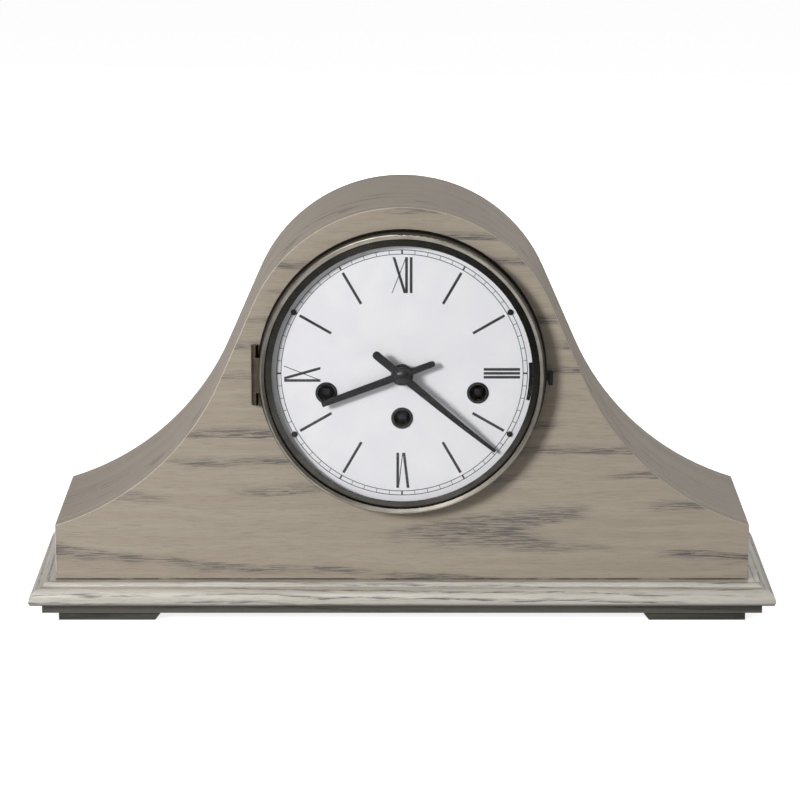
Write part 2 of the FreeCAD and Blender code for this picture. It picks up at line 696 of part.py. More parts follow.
def dial_ring(screws):
    """Flanged ring on the case that carries the dial, with room for the silent lever."""
    top = DIAL_F - DIAL_T
    ring = turned(CENTRE, profile_edges(CENTRE, (
        (RING_BORE_R, 0), (FLANGE_R, 0), (FLANGE_R, FLANGE_T), (DIAL_R, FLANGE_T),
        (DIAL_R, top), (RING_BORE_R, top))))
    spread = LEVER_STRIP_HALF_ANGLE * 2
    recess = sector(LEVER_STRIP_R - GAP, DIAL_R + OVERRUN, SLOT_LOW - spread, SLOT_TOP + spread,
                    top - LEVER_T - 2 * GAP, top + OVERRUN)
    return ring.cut(Part.makeCompound([recess, *screws]))


def dial_plate(screws):
    low = DIAL_F - DIAL_T
    dial = drilled(bar(CENTRE, DIAL_R, low, DIAL_F), CENTRE, CENTRE_HOLE_R, low, DIAL_F)
    for place in (TIME, CHIME, STRIKE):
        dial = drilled(dial, place, GROMMET_NECK_R, low, DIAL_F)
    slot = sector(SLOT_R - SLOT_HALF, SLOT_R + SLOT_HALF, SLOT_LOW, SLOT_TOP,
                  low - OVERRUN, DIAL_F + OVERRUN)
    return dial.cut(Part.makeCompound([slot, *screws]))


def winding_grommets():
    """Collar in each winding hole: a neck through the dial under a thin lip."""
    low = DIAL_F - DIAL_T - GROMMET_LIP_T
    profile = ((GROMMET_BORE_R, low), (GROMMET_NECK_R, low), (GROMMET_NECK_R, DIAL_F),
               (GROMMET_R, DIAL_F), (GROMMET_R, DIAL_F + GROMMET_LIP_T / 2),
               (GROMMET_NECK_R, DIAL_F + GROMMET_LIP_T), (GROMMET_BORE_R, DIAL_F + GROMMET_LIP_T))
    return group([turned(place, profile_edges(place, profile)) for place in (TIME, CHIME, STRIKE)])


def chime_silent_lever():
    """Curved strip behind the dial with a pin that stands out through the slot."""
    top = DIAL_F - DIAL_T - GAP
    strip = sector(LEVER_STRIP_R, SLOT_R + SLOT_HALF - GAP, LEVER_REST - LEVER_STRIP_HALF_ANGLE,
                   LEVER_REST + LEVER_STRIP_HALF_ANGLE, top - LEVER_T, top)
    pin = bar(polar(CENTRE, SLOT_R, LEVER_REST), LEVER_PIN_R, top - LEVER_T, DIAL_F + LEVER_PIN_OUT)
    return joined([strip, pin])


# Glazed door

def bezel_ring():
    """Outer ring of the door: a plain wall, a round crest and a slope in to the inner ring."""
    shoulder = CREST_F - CREST_ROUND
    crest_r = BEZEL_R - CREST_ROUND
    bend = CREST_ROUND * math.sqrt(0.5)
    p = [at(radius, f, DIAL_Z) for radius, f in (
        (BEZEL_BORE_R, BEZEL_BACK_F), (BEZEL_R, BEZEL_BACK_F), (BEZEL_R, shoulder),
        (crest_r + bend, shoulder + bend), (crest_r, CREST_F), (BEZEL_BORE_R, GROOVE_F))]
    return turned(CENTRE, [
        Part.LineSegment(p[0], p[1]).toShape(), Part.LineSegment(p[1], p[2]).toShape(),
        Part.Arc(p[2], p[3], p[4]).toShape(), Part.LineSegment(p[4], p[5]).toShape(),
        Part.LineSegment(p[5], p[0]).toShape()])


def glass_rise(radius):
    """Depth of the glass's outer face at a radius from its middle."""
    rise = GLASS_CREST_F - GLASS_EDGE_F
    sphere_r = (GLASS_R ** 2 + rise ** 2) / (2 * rise)
    return GLASS_CREST_F - sphere_r + math.sqrt(sphere_r ** 2 - radius ** 2)


def bezel_inner_ring():
    """Dark ring that laps over the edge of the glass."""
    lap = glass_rise(INNER_RING_R) + RUN
    top = lap + INNER_RING_T
    back = GLASS_EDGE_F - GLASS_T
    under = glass_rise(GLASS_R) + RUN
    return turned(CENTRE, profile_edges(CENTRE, (
        (INNER_RING_R, lap), (INNER_RING_R, top), (BEZEL_BORE_R, top - INNER_RING_FALL),
        (BEZEL_BORE_R, back), (GLASS_R + GAP, back), (GLASS_R + GAP, under))))


def door_glass():
    """Domed glass of even thickness."""
    edge = at(GLASS_R, GLASS_EDGE_F, DIAL_Z)
    edge_in = at(GLASS_R, GLASS_EDGE_F - GLASS_T, DIAL_Z)
    outer_mid = at(GLASS_R / 2, glass_rise(GLASS_R / 2), DIAL_Z)
    inner_mid = at(GLASS_R / 2, glass_rise(GLASS_R / 2) - GLASS_T, DIAL_Z)
    crest = at(0, GLASS_CREST_F, DIAL_Z)
    crest_in = at(0, GLASS_CREST_F - GLASS_T, DIAL_Z)
    return turned(CENTRE, [
        Part.Arc(crest, outer_mid, edge).toShape(), Part.LineSegment(edge, edge_in).toShape(),
        Part.Arc(edge_in, inner_mid, crest_in).toShape(), Part.LineSegment(crest_in, crest).toShape()])


def glass_retainer():
    high = GLASS_EDGE_F - GLASS_T
    return tube(CENTRE, BEZEL_BORE_R, RETAINER_BORE_R, high - RETAINER_T, high)


def door_pull_tab():
    """Small pull at the right edge of the door, on a neck under the bezel."""
    z = DIAL_Z - TAB_DROP
    neck = block(BEZEL_BORE_R, TAB_INNER_X, BEZEL_BACK_F, BEZEL_BACK_F + TAB_NECK_T,
                 z - TAB_NECK_H / 2, z + TAB_NECK_H / 2)
    tab = block(TAB_INNER_X, TAB_OUTER_X, BEZEL_BACK_F, BEZEL_BACK_F + TAB_T,
                z - TAB_H / 2, z + TAB_H / 2)
    tab = tab.makeFillet((TAB_OUTER_X - TAB_INNER_X) / 4, tab.Edges)
    return joined([neck, tab]).cut(bar(CENTRE, BEZEL_R, 0, CREST_F))


def knuckle(bottom, height, bore):
    whole = Part.makeCylinder(KNUCKLE_R, height, at(HINGE_X, HINGE_F, bottom))
    return whole.cut(Part.makeCylinder(bore, height, at(HINGE_X, HINGE_F, bottom)))


HINGE_BOTTOM = DIAL_Z - HINGE_DROP - HINGE_L / 2
MIDDLE_BOTTOM = HINGE_BOTTOM + OUTER_KNUCKLE_L + KNUCKLE_GAP
MIDDLE_L = HINGE_L - 2 * (OUTER_KNUCKLE_L + KNUCKLE_GAP)


def hinge_leaf_plate():
    """Flat of the fixed leaf, let into the wood under the dial ring's flange."""
    return block(HINGE_X - KNUCKLE_R, LEAF_REACH_X, -LEAF_T, 0, HINGE_BOTTOM, HINGE_BOTTOM + HINGE_L)


def case_hinge_leaf():
    """Fixed leaf with its two outer knuckles rolled up from the left edge."""
    pieces = [hinge_leaf_plate().cut(bar(CENTRE, CASE_HOLE_R, -FRONT_T, 0))]
    for bottom in (HINGE_BOTTOM, HINGE_BOTTOM + HINGE_L - OUTER_KNUCKLE_L):
        pieces.append(knuckle(bottom, OUTER_KNUCKLE_L, HINGE_PIN_R))
        pieces.append(block(HINGE_X - KNUCKLE_R, HINGE_X - HINGE_PIN_R - GAP, 0, HINGE_F,
                            bottom, bottom + OUTER_KNUCKLE_L))
    return joined(pieces)


def door_hinge_leaf():
    """Moving leaf: the middle knuckle and the strap that joins it to the bezel."""
    top = HINGE_F + KNUCKLE_R
    strap = block(HINGE_X, -BEZEL_BORE_R, top - DOOR_LEAF_T, top,
                  MIDDLE_BOTTOM, MIDDLE_BOTTOM + MIDDLE_L)
    bore = Part.makeCylinder(HINGE_PIN_R + RUN, MIDDLE_L, at(HINGE_X, HINGE_F, MIDDLE_BOTTOM))
    leaf = joined([knuckle(MIDDLE_BOTTOM, MIDDLE_L, HINGE_PIN_R + RUN), strap])
    return leaf.cut(bar(CENTRE, BEZEL_R, 0, CREST_F)).cut(bore)


def door_hinge_pin():
    return Part.makeCylinder(HINGE_PIN_R, HINGE_L, at(HINGE_X, HINGE_F, HINGE_BOTTOM))


# Hands

def hand_outline(tip_w, length, broad_w, hub_r, tail_w, tail, low, high):
    """Upright hand: a tapered blade, a round hub and a round-ended tail."""
    tail_end = CENTRE[1] - tail + tail_w / 2
    sides = [(tip_w / 2, CENTRE[1] + length), (broad_w / 2, CENTRE[1] + hub_r), (tail_w / 2, tail_end)]
    points = sides + [(-x, z) for x, z in reversed(sides)]
    return joined([plate(points, low, high), bar(CENTRE, hub_r, low, high),
                   bar((CENTRE[0], tail_end), tail_w / 2, low, high)])


def hour_hand():
    """Slim baton hand on the hour pipe."""
    low = HOUR_HAND_F - HAND_T
    hand = hand_outline(HOUR_NARROW, HOUR_L, HOUR_BROAD, HOUR_HUB_R, HOUR_NARROW, HOUR_TAIL,
                        low, HOUR_HAND_F)
    return clockwise(drilled(hand, CENTRE, HOUR_PIPE_R, low, HOUR_HAND_F), HOUR_HAND_AT)


def minute_bend():
    """Strip that is level over the hub and curves down to the dial at the tip."""
    run = MINUTE_L - MINUTE_BEND_FROM
    bend_r = (run ** 2 + MINUTE_DROP ** 2) / (2 * MINUTE_DROP)
    mid_run = run / 2
    x = CENTRE[0] - MINUTE_HUB_R - OVERRUN

    def place(along, top):
        radius = bend_r if top else bend_r - HAND_T
        drop = radius - math.sqrt(radius ** 2 - max(along - MINUTE_BEND_FROM, 0) ** 2)
        return at(x, MINUTE_HAND_F - drop - (0 if top else HAND_T), CENTRE[1] + along)

    end = MINUTE_L + OVERRUN
    middle = MINUTE_BEND_FROM + mid_run
    back = -MINUTE_TAIL - OVERRUN
    edges = [
        Part.LineSegment(place(back, True), place(MINUTE_BEND_FROM, True)).toShape(),
        Part.Arc(place(MINUTE_BEND_FROM, True), place(middle, True), place(end, True)).toShape(),
        Part.LineSegment(place(end, True), place(end, False)).toShape(),
        Part.Arc(place(end, False), place(middle, False), place(MINUTE_BEND_FROM, False)).toShape(),
        Part.LineSegment(place(MINUTE_BEND_FROM, False), place(back, False)).toShape(),
        Part.LineSegment(place(back, False), place(back, True)).toShape()]
    return Part.Face(Part.Wire(edges)).extrude(V(2 * (MINUTE_HUB_R + OVERRUN), 0, 0))


def minute_hand():
    """Long pointed hand on the cannon pinion's pipe."""
    low = MINUTE_HAND_F - HAND_T
    hand = hand_outline(MINUTE_POINT, MINUTE_L, MINUTE_BROAD, MINUTE_HUB_R, MINUTE_TAIL_BROAD,
                        MINUTE_TAIL, low - MINUTE_DROP - OVERRUN, MINUTE_HAND_F + OVERRUN)
    hand = hand.common(minute_bend())
    return clockwise(drilled(hand, CENTRE, CANNON_R, low, MINUTE_HAND_F), MINUTE_HAND_AT)


def hand_nut():
    """Round nut with a sloped rim on the end of the centre arbor."""
    high = MINUTE_HAND_F + HAND_NUT_L
    middle = MINUTE_HAND_F + HAND_NUT_L / 2
    slope = HAND_NUT_R - CENTRE_ARBOR_R - HAND_NUT_L / 2
    return turned(CENTRE, profile_edges(CENTRE, (
        (CENTRE_ARBOR_R, MINUTE_HAND_F), (HAND_NUT_R, MINUTE_HAND_F), (HAND_NUT_R, middle),
        (HAND_NUT_R - slope, high), (CENTRE_ARBOR_R, high))))


# Motion work

CANNON_F = FRONT_PLATE_F + CANNON_AHEAD
HOUR_WHEEL_F = CANNON_F + HOUR_WHEEL_AHEAD
CENTRE_PINION_TURN = meshed(90, GREAT_TEETH, CENTRE_PINION_TEETH, 90)
MINUTE_TURN = meshed(MINUTE_ANGLE, CANNON_TEETH, MINUTE_TEETH, MINUTE_ANGLE)
HOUR_TURN = meshed(MINUTE_ANGLE + 180, MINUTE_PINION_TEETH, HOUR_TEETH, MINUTE_ANGLE + 180)


def centre_arbor():
    """Arbor that carries the hands, with the pinion and the large wheel of the going train."""
    end = MINUTE_HAND_F + HAND_NUT_L
    pinion_f = TIME_GREAT_F + (PINION_L - GREAT_WHEEL_T) / 2
    return joined([
        bar(CENTRE, CENTRE_ARBOR_R, BACK_INNER_F + GAP, end),
        bar(CENTRE, PIVOT_R, BACK_PLATE_F, BACK_INNER_F + GAP),
        toothed(CENTRE, CENTRE_PINION_TEETH, GREAT_MODULE, pinion_f - PINION_L, pinion_f,
                CENTRE_PINION_TURN, PINION_TOOTH_SHARES),
        toothed(CENTRE, CENTRE_TEETH, TRAIN_MODULE, CENTRE_WHEEL_F - WHEEL_T, CENTRE_WHEEL_F,
                THIRD_ANGLE, WHEEL_TOOTH_SHARES)])


def cannon_pinion():
    """Pinion and long pipe on the centre arbor, which carry the minute hand."""
    leaves = toothed(CENTRE, CANNON_TEETH, MOTION_MODULE, CANNON_F, CANNON_F + MOTION_T,
                     MINUTE_ANGLE, PINION_TOOTH_SHARES)
    pipe = bar(CENTRE, CANNON_R, CANNON_F, MINUTE_HAND_F)
    return drilled(joined([leaves, pipe]), CENTRE, CENTRE_ARBOR_R, CANNON_F, MINUTE_HAND_F)


def minute_wheel():
    wheel = toothed(MINUTE, MINUTE_TEETH, MOTION_MODULE, CANNON_F, CANNON_F + MOTION_T,
                    MINUTE_TURN, WHEEL_TOOTH_SHARES)
    pinion = toothed(MINUTE, MINUTE_PINION_TEETH, MINUTE_MODULE, CANNON_F + MOTION_T,
                     HOUR_WHEEL_F + MOTION_T, MINUTE_ANGLE + 180, PINION_TOOTH_SHARES)
    return drilled(joined([wheel, pinion]), MINUTE, ARBOR_R + RUN, CANNON_F, HOUR_WHEEL_F + MOTION_T)


def hour_wheel():
    """Wheel and pipe that carry the hour hand, free on the minute hand's pipe."""
    wheel = toothed(CENTRE, HOUR_TEETH, MINUTE_MODULE, HOUR_WHEEL_F, HOUR_WHEEL_F + MOTION_T,
                    HOUR_TURN, WHEEL_TOOTH_SHARES)
    pipe = bar(CENTRE, HOUR_PIPE_R, HOUR_WHEEL_F, HOUR_HAND_F)
    return drilled(joined([wheel, pipe]), CENTRE, CANNON_R + RUN, HOUR_WHEEL_F, HOUR_HAND_F)


# Movement frame

TOP_PILLAR = (PLATE_HALF_WIDTH - TOP_PILLAR_SIDE, PLATE_HALF_HEIGHT - TOP_PILLAR_DROP)
LOW_PILLAR = (PLATE_HALF_WIDTH - LOW_PILLAR_SIDE, LOW_PILLAR_RISE - PLATE_HALF_HEIGHT)
PILLARS = [(side * x, DIAL_Z + up) for side in (-1, 1) for x, up in (TOP_PILLAR, LOW_PILLAR)]
CORNERS = [(side * SPACER_X, DIAL_Z + up) for side in (-1, 1) for up in (SPACER_UP, -SPACER_UP)]
WINDINGS = {"time": TIME, "chime": CHIME, "strike": STRIKE}
CLICK_ANGLES = {"time": TIME_CLICK_ANGLE, "chime": CLICK_ANGLE, "strike": CLICK_ANGLE}
CLICK_F = FRONT_PLATE_F + CANNON_AHEAD


def plate_blank(low, high):
    """Plate with cut corners and the holes that both plates share."""
    width = PLATE_HALF_WIDTH
    height = PLATE_HALF_HEIGHT
    quarter = [(width - PLATE_CORNER, height), (width, height - PLATE_CORNER)]
    half = quarter + [(x, -up) for x, up in reversed(quarter)]
    points = half + [(-x, up) for x, up in reversed(half)]
    blank = plate([(x, DIAL_Z + up) for x, up in points], low, high)
    for place in PILLARS:
        blank = drilled(blank, place, STUD_R, low, high)
    for place in WINDINGS.values():
        blank = drilled(blank, place, WINDING_R + RUN, low, high)
    for place in (THIRD, CHIME_FLY, STRIKE_SECOND, STRIKE_FLY):
        blank = drilled(blank, place, PIVOT_R + RUN, low, high)
    return blank


def front_plate(fasteners):
    """Plate behind the dial, with studs for the minute wheel and the clicks."""
    blank = plate_blank(FRONT_INNER_F, FRONT_PLATE_F)
    blank = drilled(blank, CENTRE, CENTRE_ARBOR_R + RUN, FRONT_INNER_F, FRONT_PLATE_F)
    for place in (ESCAPE, CHIME_DRUM):
        blank = drilled(blank, place, PIVOT_R + RUN, FRONT_INNER_F, FRONT_PLATE_F)
    studs = [bar(MINUTE, ARBOR_R, FRONT_PLATE_F, HOUR_WHEEL_F + MOTION_T + GAP)]
    for name, place in WINDINGS.items():
        stud = polar(place, CLICK_OFFSET, CLICK_ANGLES[name])
        studs.append(bar(stud, CLICK_STUD_R, FRONT_PLATE_F, CLICK_F + RATCHET_T))
    return joined([blank.cut(Part.makeCompound(fasteners)), *studs])


def back_plate():
    """Rear plate of the movement, which also carries the escapement and the chime frame."""
    blank = plate_blank(BACK_PLATE_F, BACK_INNER_F)
    for place in (CENTRE, PALLET, BALANCE):
        blank = drilled(blank, place, PIVOT_R + RUN, BACK_PLATE_F, BACK_INNER_F)
    for place in (ESCAPE, CHIME_DRUM):
        blank = drilled(blank, place, ARBOR_R + RUN, BACK_PLATE_F, BACK_INNER_F)
    return blank


def plate_pillars():
    return group([joined([bar(place, PILLAR_R, BACK_INNER_F, FRONT_INNER_F),
                          bar(place, STUD_R, BACK_PLATE_F - NUT_T, FRONT_PLATE_F)]) for place in PILLARS])


def pillar_nuts():
    nuts = []
    for place in PILLARS:
        nut = plate([polar(place, NUT_R, 60 * k) for k in range(6)], BACK_PLATE_F - NUT_T, BACK_PLATE_F)
        nuts.append(drilled(nut, place, STUD_R, BACK_PLATE_F - NUT_T, BACK_PLATE_F))
    return group(nuts)


def movement_screws():
    """Long screws through the front plate and its spacers into the front board."""
    return [joined([bar(place, MOVEMENT_SCREW_R, FRONT_INNER_F, FRONT_BACK_F + MOVEMENT_SCREW_BITE),
                    bar(place, MOVEMENT_SCREW_HEAD_R, FRONT_INNER_F - MOVEMENT_SCREW_HEAD_T, FRONT_INNER_F)])
            for place in CORNERS]


def movement_spacers():
    return group([tube(place, SPACER_R, MOVEMENT_SCREW_R, FRONT_PLATE_F, FRONT_BACK_F)
                  for place in CORNERS])


# Barrels, winding arbors and clicks

def barrel(place, drum_high, drum_low, great_high, turn):
    """Spring drum with its toothed great wheel, free on the winding arbor."""
    great = toothed(place, GREAT_TEETH, GREAT_MODULE, great_high - GREAT_WHEEL_T, great_high,
                    turn, WHEEL_TOOTH_SHARES)
    drum = bar(place, DRUM_R, drum_low, drum_high)
    low = min(drum_low, great_high - GREAT_WHEEL_T)
    high = max(drum_high, great_high)
    return drilled(joined([great, drum]), place, WINDING_R + RUN, low, high)


def winding_arbor(place):
    """Arbor through the drum with a ratchet and a square end behind the dial."""
    square_low = WINDING_END_F - WINDING_SQUARE_L
    half = WINDING_SQUARE / 2
    x, z = place
    round_part = bar(place, WINDING_R, BACK_PLATE_F, square_low)
    square = block(x - half, x + half, square_low, WINDING_END_F, z - half, z + half)
    ratchet = saw_toothed(place, RATCHET_TEETH, RATCHET_R, RATCHET_TOOTH, CLICK_F, CLICK_F + RATCHET_T)
    return joined([round_part, ratchet, square])


def click(name):
    """Pawl that lies beside its ratchet, its nose just clear of the teeth."""
    place = WINDINGS[name]
    angle = CLICK_ANGLES[name]
    pivot = polar(place, CLICK_OFFSET, angle)
    nose = polar(place, RATCHET_R + GAP + CLICK_W / 2, angle - CLICK_SPREAD)
    pawl = arm(pivot, nose, CLICK_W, CLICK_F, CLICK_F + RATCHET_T)
    eye = bar(pivot, CLICK_STUD_R + CLICK_W / 2, CLICK_F, CLICK_F + RATCHET_T)
    return drilled(joined([eye, pawl]), pivot, CLICK_STUD_R + RUN, CLICK_F, CLICK_F + RATCHET_T)


# Going train and escapement

THIRD_PINION_TURN = meshed(THIRD_ANGLE, CENTRE_TEETH, TRAIN_PINION_TEETH, THIRD_ANGLE)
ESCAPE_PINION_TURN = meshed(ESCAPE_ANGLE, THIRD_TEETH, TRAIN_PINION_TEETH, ESCAPE_ANGLE)


def third_wheel():
    return joined([
        train_arbor(THIRD),
        toothed(THIRD, TRAIN_PINION_TEETH, TRAIN_MODULE, THIRD_PINION_F - PINION_L, THIRD_PINION_F,
                THIRD_PINION_TURN, PINION_TOOTH_SHARES),
        toothed(THIRD, THIRD_TEETH, TRAIN_MODULE, THIRD_WHEEL_F - WHEEL_T, THIRD_WHEEL_F,
                ESCAPE_ANGLE, WHEEL_TOOTH_SHARES)])


def escape_wheel():
    """Escape pinion between the plates and the pointed wheel behind them."""
    pinion_f = THIRD_WHEEL_F + (PINION_L - WHEEL_T) / 2
    return joined([
        bar(ESCAPE, ARBOR_R, ESCAPE_F - ESCAPE_T, FRONT_INNER_F - GAP),
        bar(ESCAPE, PIVOT_R, FRONT_INNER_F - GAP, FRONT_PLATE_F),
        toothed(ESCAPE, TRAIN_PINION_TEETH, TRAIN_MODULE, pinion_f - PINION_L, pinion_f,
                ESCAPE_PINION_TURN, PINION_TOOTH_SHARES),
        saw_toothed(ESCAPE, ESCAPE_TEETH, ESCAPE_R, ESCAPE_TOOTH, ESCAPE_F - ESCAPE_T, ESCAPE_F)])


def pallet_fork():
    """Lever with two pallets clear of the escape wheel and a fork toward the balance."""
    low = ESCAPE_F - ESCAPE_T
    pieces = [bar(PALLET, PALLET_HUB_R, low, ESCAPE_F), bar(PALLET, PIVOT_R, ESCAPE_F, BACK_INNER_F)]
    for side in (-1, 1):
        pad = polar(ESCAPE, ESCAPE_R + PALLET_CLEAR + PALLET_W / 2, 90 + side * PALLET_ANGLE)
        pieces.append(arm(PALLET, pad, PALLET_W, low, ESCAPE_F))
    reach = BALANCE_OFFSET - ROLLER_R - ROLLER_PIN_R - GAP - PALLET_W / 2
    tip = (PALLET[0], PALLET[1] + reach)
    pieces.append(arm(PALLET, tip, PALLET_W, low, ESCAPE_F))
    return joined(pieces)


def balance_wheel():
    """Balance with its arms, its staff and the small pin that works the fork."""
    low = BALANCE_F - BALANCE_T
    rim = tube(BALANCE, BALANCE_R, BALANCE_R - BALANCE_RIM, low, BALANCE_F)
    ends = [polar(BALANCE, BALANCE_R - BALANCE_RIM / 2, 90 + 360 * k / BALANCE_SPOKES)
            for k in range(BALANCE_SPOKES)]
    spokes = [arm(BALANCE, end, BALANCE_RIM, low, BALANCE_F) for end in ends]
    staff = bar(BALANCE, PIVOT_R, COCK_F - COCK_T, BACK_INNER_F)
    roller = bar(BALANCE, ROLLER_R + 2 * ROLLER_PIN_R, BALANCE_F, BALANCE_F + WHEEL_T)
    pin = bar((BALANCE[0], BALANCE[1] - ROLLER_R), ROLLER_PIN_R, BALANCE_F, ESCAPE_F)
    return joined([rim, *spokes, staff, roller, pin])


def balance_cock():
    """Bracket from the back plate over the balance, which holds its rear pivot."""
    x, z = BALANCE
    bottom = z - COCK_HALF_H
    top = z + COCK_HALF_H
    far = x - COCK_FOOT_FAR_X
    post = block(far, x - COCK_FOOT_NEAR_X, COCK_F, BACK_PLATE_F, bottom, top)
    bridge = block(far, x + COCK_REACH, COCK_F - COCK_T, COCK_F, bottom, top)
    return drilled(joined([post, bridge]), BALANCE, PIVOT_R + RUN, COCK_F - COCK_T, COCK_F)


# Chime and strike trains

DRUM_PINION_TURN = meshed(CHIME_DRUM_ANGLE, GREAT_TEETH, DRUM_PINION_TEETH, CHIME_DRUM_ANGLE)
CHIME_FLY_TURN = meshed(CHIME_FLY_ANGLE, CHIME_TEETH, TRAIN_PINION_TEETH, CHIME_FLY_ANGLE)
STRIKE_PINION_TURN = meshed(STRIKE_ANGLE, GREAT_TEETH, STRIKE_PINION_TEETH, STRIKE_ANGLE)
STRIKE_FLY_TURN = meshed(STRIKE_FLY_ANGLE, STRIKE_TEETH, TRAIN_PINION_TEETH, STRIKE_FLY_ANGLE)


def chime_drum():
    """Pinned drum behind the back plate on the arbor of the chime wheel."""
    wheel_f = FRONT_INNER_F - CHIME_WHEEL_BEHIND
    drum_high = BACK_PLATE_F - ESCAPE_BEHIND
    drum_low = DRUM_END_F + ESCAPE_BEHIND
    pieces = [
        bar(CHIME_DRUM, ARBOR_R, DRUM_END_F - FRAME_T, FRONT_INNER_F - GAP),
        bar(CHIME_DRUM, PIVOT_R, FRONT_INNER_F - GAP, FRONT_PLATE_F),
        toothed(CHIME_DRUM, DRUM_PINION_TEETH, GREAT_MODULE, SIDE_PINION_F - PINION_L, SIDE_PINION_F,
                DRUM_PINION_TURN, PINION_TOOTH_SHARES),
        toothed(CHIME_DRUM, CHIME_TEETH, TRAIN_MODULE, wheel_f - WHEEL_T, wheel_f,
                CHIME_FLY_ANGLE, WHEEL_TOOTH_SHARES),
        bar(CHIME_DRUM, CHIME_DRUM_R, drum_low, drum_high)]
    for row, f in enumerate(HAMMER_FS):
        for k in range(DRUM_PINS):
            angle = (k + row / HAMMERS) * 360 / DRUM_PINS
            outward = V(math.cos(math.radians(angle)), 0, math.sin(math.radians(angle)))
            pieces.append(Part.makeCylinder(DRUM_PIN_R, CHIME_DRUM_R + DRUM_PIN_OUT,
                                            at(CHIME_DRUM[0], f, CHIME_DRUM[1]), outward))
    return joined(pieces)


def fly(place, pinion_f, turn):
    """Air brake: two flat blades on an arbor with a small pinion."""
    low = BACK_INNER_F + FLY_AHEAD
    high = FRONT_INNER_F - FLY_BEHIND
    x, z = place
    blades = block(x - FLY_HALF_L, x + FLY_HALF_L, low, high, z - FLY_T / 2, z + FLY_T / 2)
    pinion = toothed(place, TRAIN_PINION_TEETH, TRAIN_MODULE, pinion_f - PINION_L, pinion_f,
                     turn, PINION_TOOTH_SHARES)
    return joined([train_arbor(place), blades, pinion])


def chime_fly():
    wheel_f = FRONT_INNER_F - CHIME_WHEEL_BEHIND
    return fly(CHIME_FLY, wheel_f + (PINION_L - WHEEL_T) / 2, CHIME_FLY_TURN)


def strike_fly():
    wheel_f = FRONT_INNER_F - STRIKE_WHEEL_BEHIND
    return fly(STRIKE_FLY, wheel_f + (PINION_L - WHEEL_T) / 2, STRIKE_FLY_TURN)


def strike_second_wheel():
    wheel_f = FRONT_INNER_F - STRIKE_WHEEL_BEHIND
    return joined([
        train_arbor(STRIKE_SECOND),
        toothed(STRIKE_SECOND, STRIKE_PINION_TEETH, GREAT_MODULE, SIDE_PINION_F - PINION_L, SIDE_PINION_F,
                STRIKE_PINION_TURN, PINION_TOOTH_SHARES),
        toothed(STRIKE_SECOND, STRIKE_TEETH, TRAIN_MODULE, wheel_f - WHEEL_T, wheel_f,
                STRIKE_FLY_ANGLE, WHEEL_TOOTH_SHARES)])


# Hammers and chime rods

def hammer_frame():
    """Rear plate on two posts, with the rod that the hammers turn on."""
    low = DRUM_END_F - FRAME_T
    left = HAMMER_PIVOT[0] - FRAME_MARGIN
    right = CHIME_DRUM[0] + FRAME_MARGIN
    foot_z = HAMMER_PIVOT[1] - FRAME_MARGIN
    top = CHIME_DRUM[1] + 2 * FRAME_MARGIN
    cheek = block(left, right, low, DRUM_END_F, foot_z, top)
    cheek = drilled(cheek, CHIME_DRUM, ARBOR_R + RUN, low, DRUM_END_F)
    posts = [bar(place, FRAME_POST_R, DRUM_END_F, BACK_PLATE_F) for place in
             ((left + FRAME_POST_R, top - FRAME_POST_R), (right - FRAME_POST_R, top - FRAME_POST_R))]
    return joined([cheek, *posts, bar(HAMMER_PIVOT, HAMMER_ROD_R, DRUM_END_F, BACK_PLATE_F)])


def hammer(f):
    """Hammer with its head over a rod and its tail just clear of the drum's pins."""
    half_t = HAMMER_ARM_T / 2
    half_hub_t = HAMMER_PITCH * HAMMER_HUB_SHARE / 2
    head = (HAMMER_PIVOT[0] - HAMMER_REACH_X, ROD_Z + ROD_R + HEAD_GAP + HEAD_L / 2)
    span = math.dist(HAMMER_PIVOT, CHIME_DRUM)
    reach = span - CHIME_DRUM_R - DRUM_PIN_OUT - GAP - HAMMER_TAIL_W / 2
    toward = math.atan2(CHIME_DRUM[1] - HAMMER_PIVOT[1], CHIME_DRUM[0] - HAMMER_PIVOT[0])
    tail = polar(HAMMER_PIVOT, reach, math.degrees(toward))
    pieces = [
        bar(HAMMER_PIVOT, HAMMER_HUB_R, f - half_hub_t, f + half_hub_t),
        arm(HAMMER_PIVOT, head, HAMMER_ARM_W, f - half_t, f + half_t),
        arm(HAMMER_PIVOT, tail, HAMMER_TAIL_W, f - half_t, f + half_t),
        Part.makeCylinder(HAMMER_PITCH * HEAD_R_SHARE, HEAD_L, at(head[0], f, head[1] - HEAD_L / 2))]
    return drilled(joined(pieces), HAMMER_PIVOT, HAMMER_ROD_R + RUN, f - half_hub_t, f + half_hub_t)


def chime_rod(index):
    """Round rod on a thinner neck that is seated in the block."""
    f = HAMMER_FS[index]
    length = LONGEST_ROD - index * ROD_STEP
    seat = at(BLOCK_END_X - ROD_SEAT, f, ROD_Z)
    shoulder = at(BLOCK_END_X + ROD_NECK_L, f, ROD_Z)
    neck = Part.makeCylinder(ROD_NECK_R, ROD_SEAT + ROD_NECK_L, seat, V(1, 0, 0))
    stem = Part.makeCylinder(ROD_R, length - ROD_NECK_L, shoulder, V(1, 0, 0))
    return joined([neck, stem])


def rod_block(rods):
    """Iron block on the floor of the case that holds the rods."""
    body = block(BLOCK_X, BLOCK_END_X, HAMMER_FS[-1] - BLOCK_MARGIN, HAMMER_FS[0] + BLOCK_MARGIN,
                 CASE_Z, ROD_Z + BLOCK_TOP)
    return body.cut(Part.makeCompound(rods))


# Back door

BACK_HINGE_X = -BACK_OPENING_R
BACK_HINGE_F = CASE_BACK_F - BACK_KNUCKLE_R
BACK_HINGE_ZS = [BACK_SILL_Z + share * (ARCH[1] - BACK_SILL_Z) for share in BACK_HINGE_SHARES]


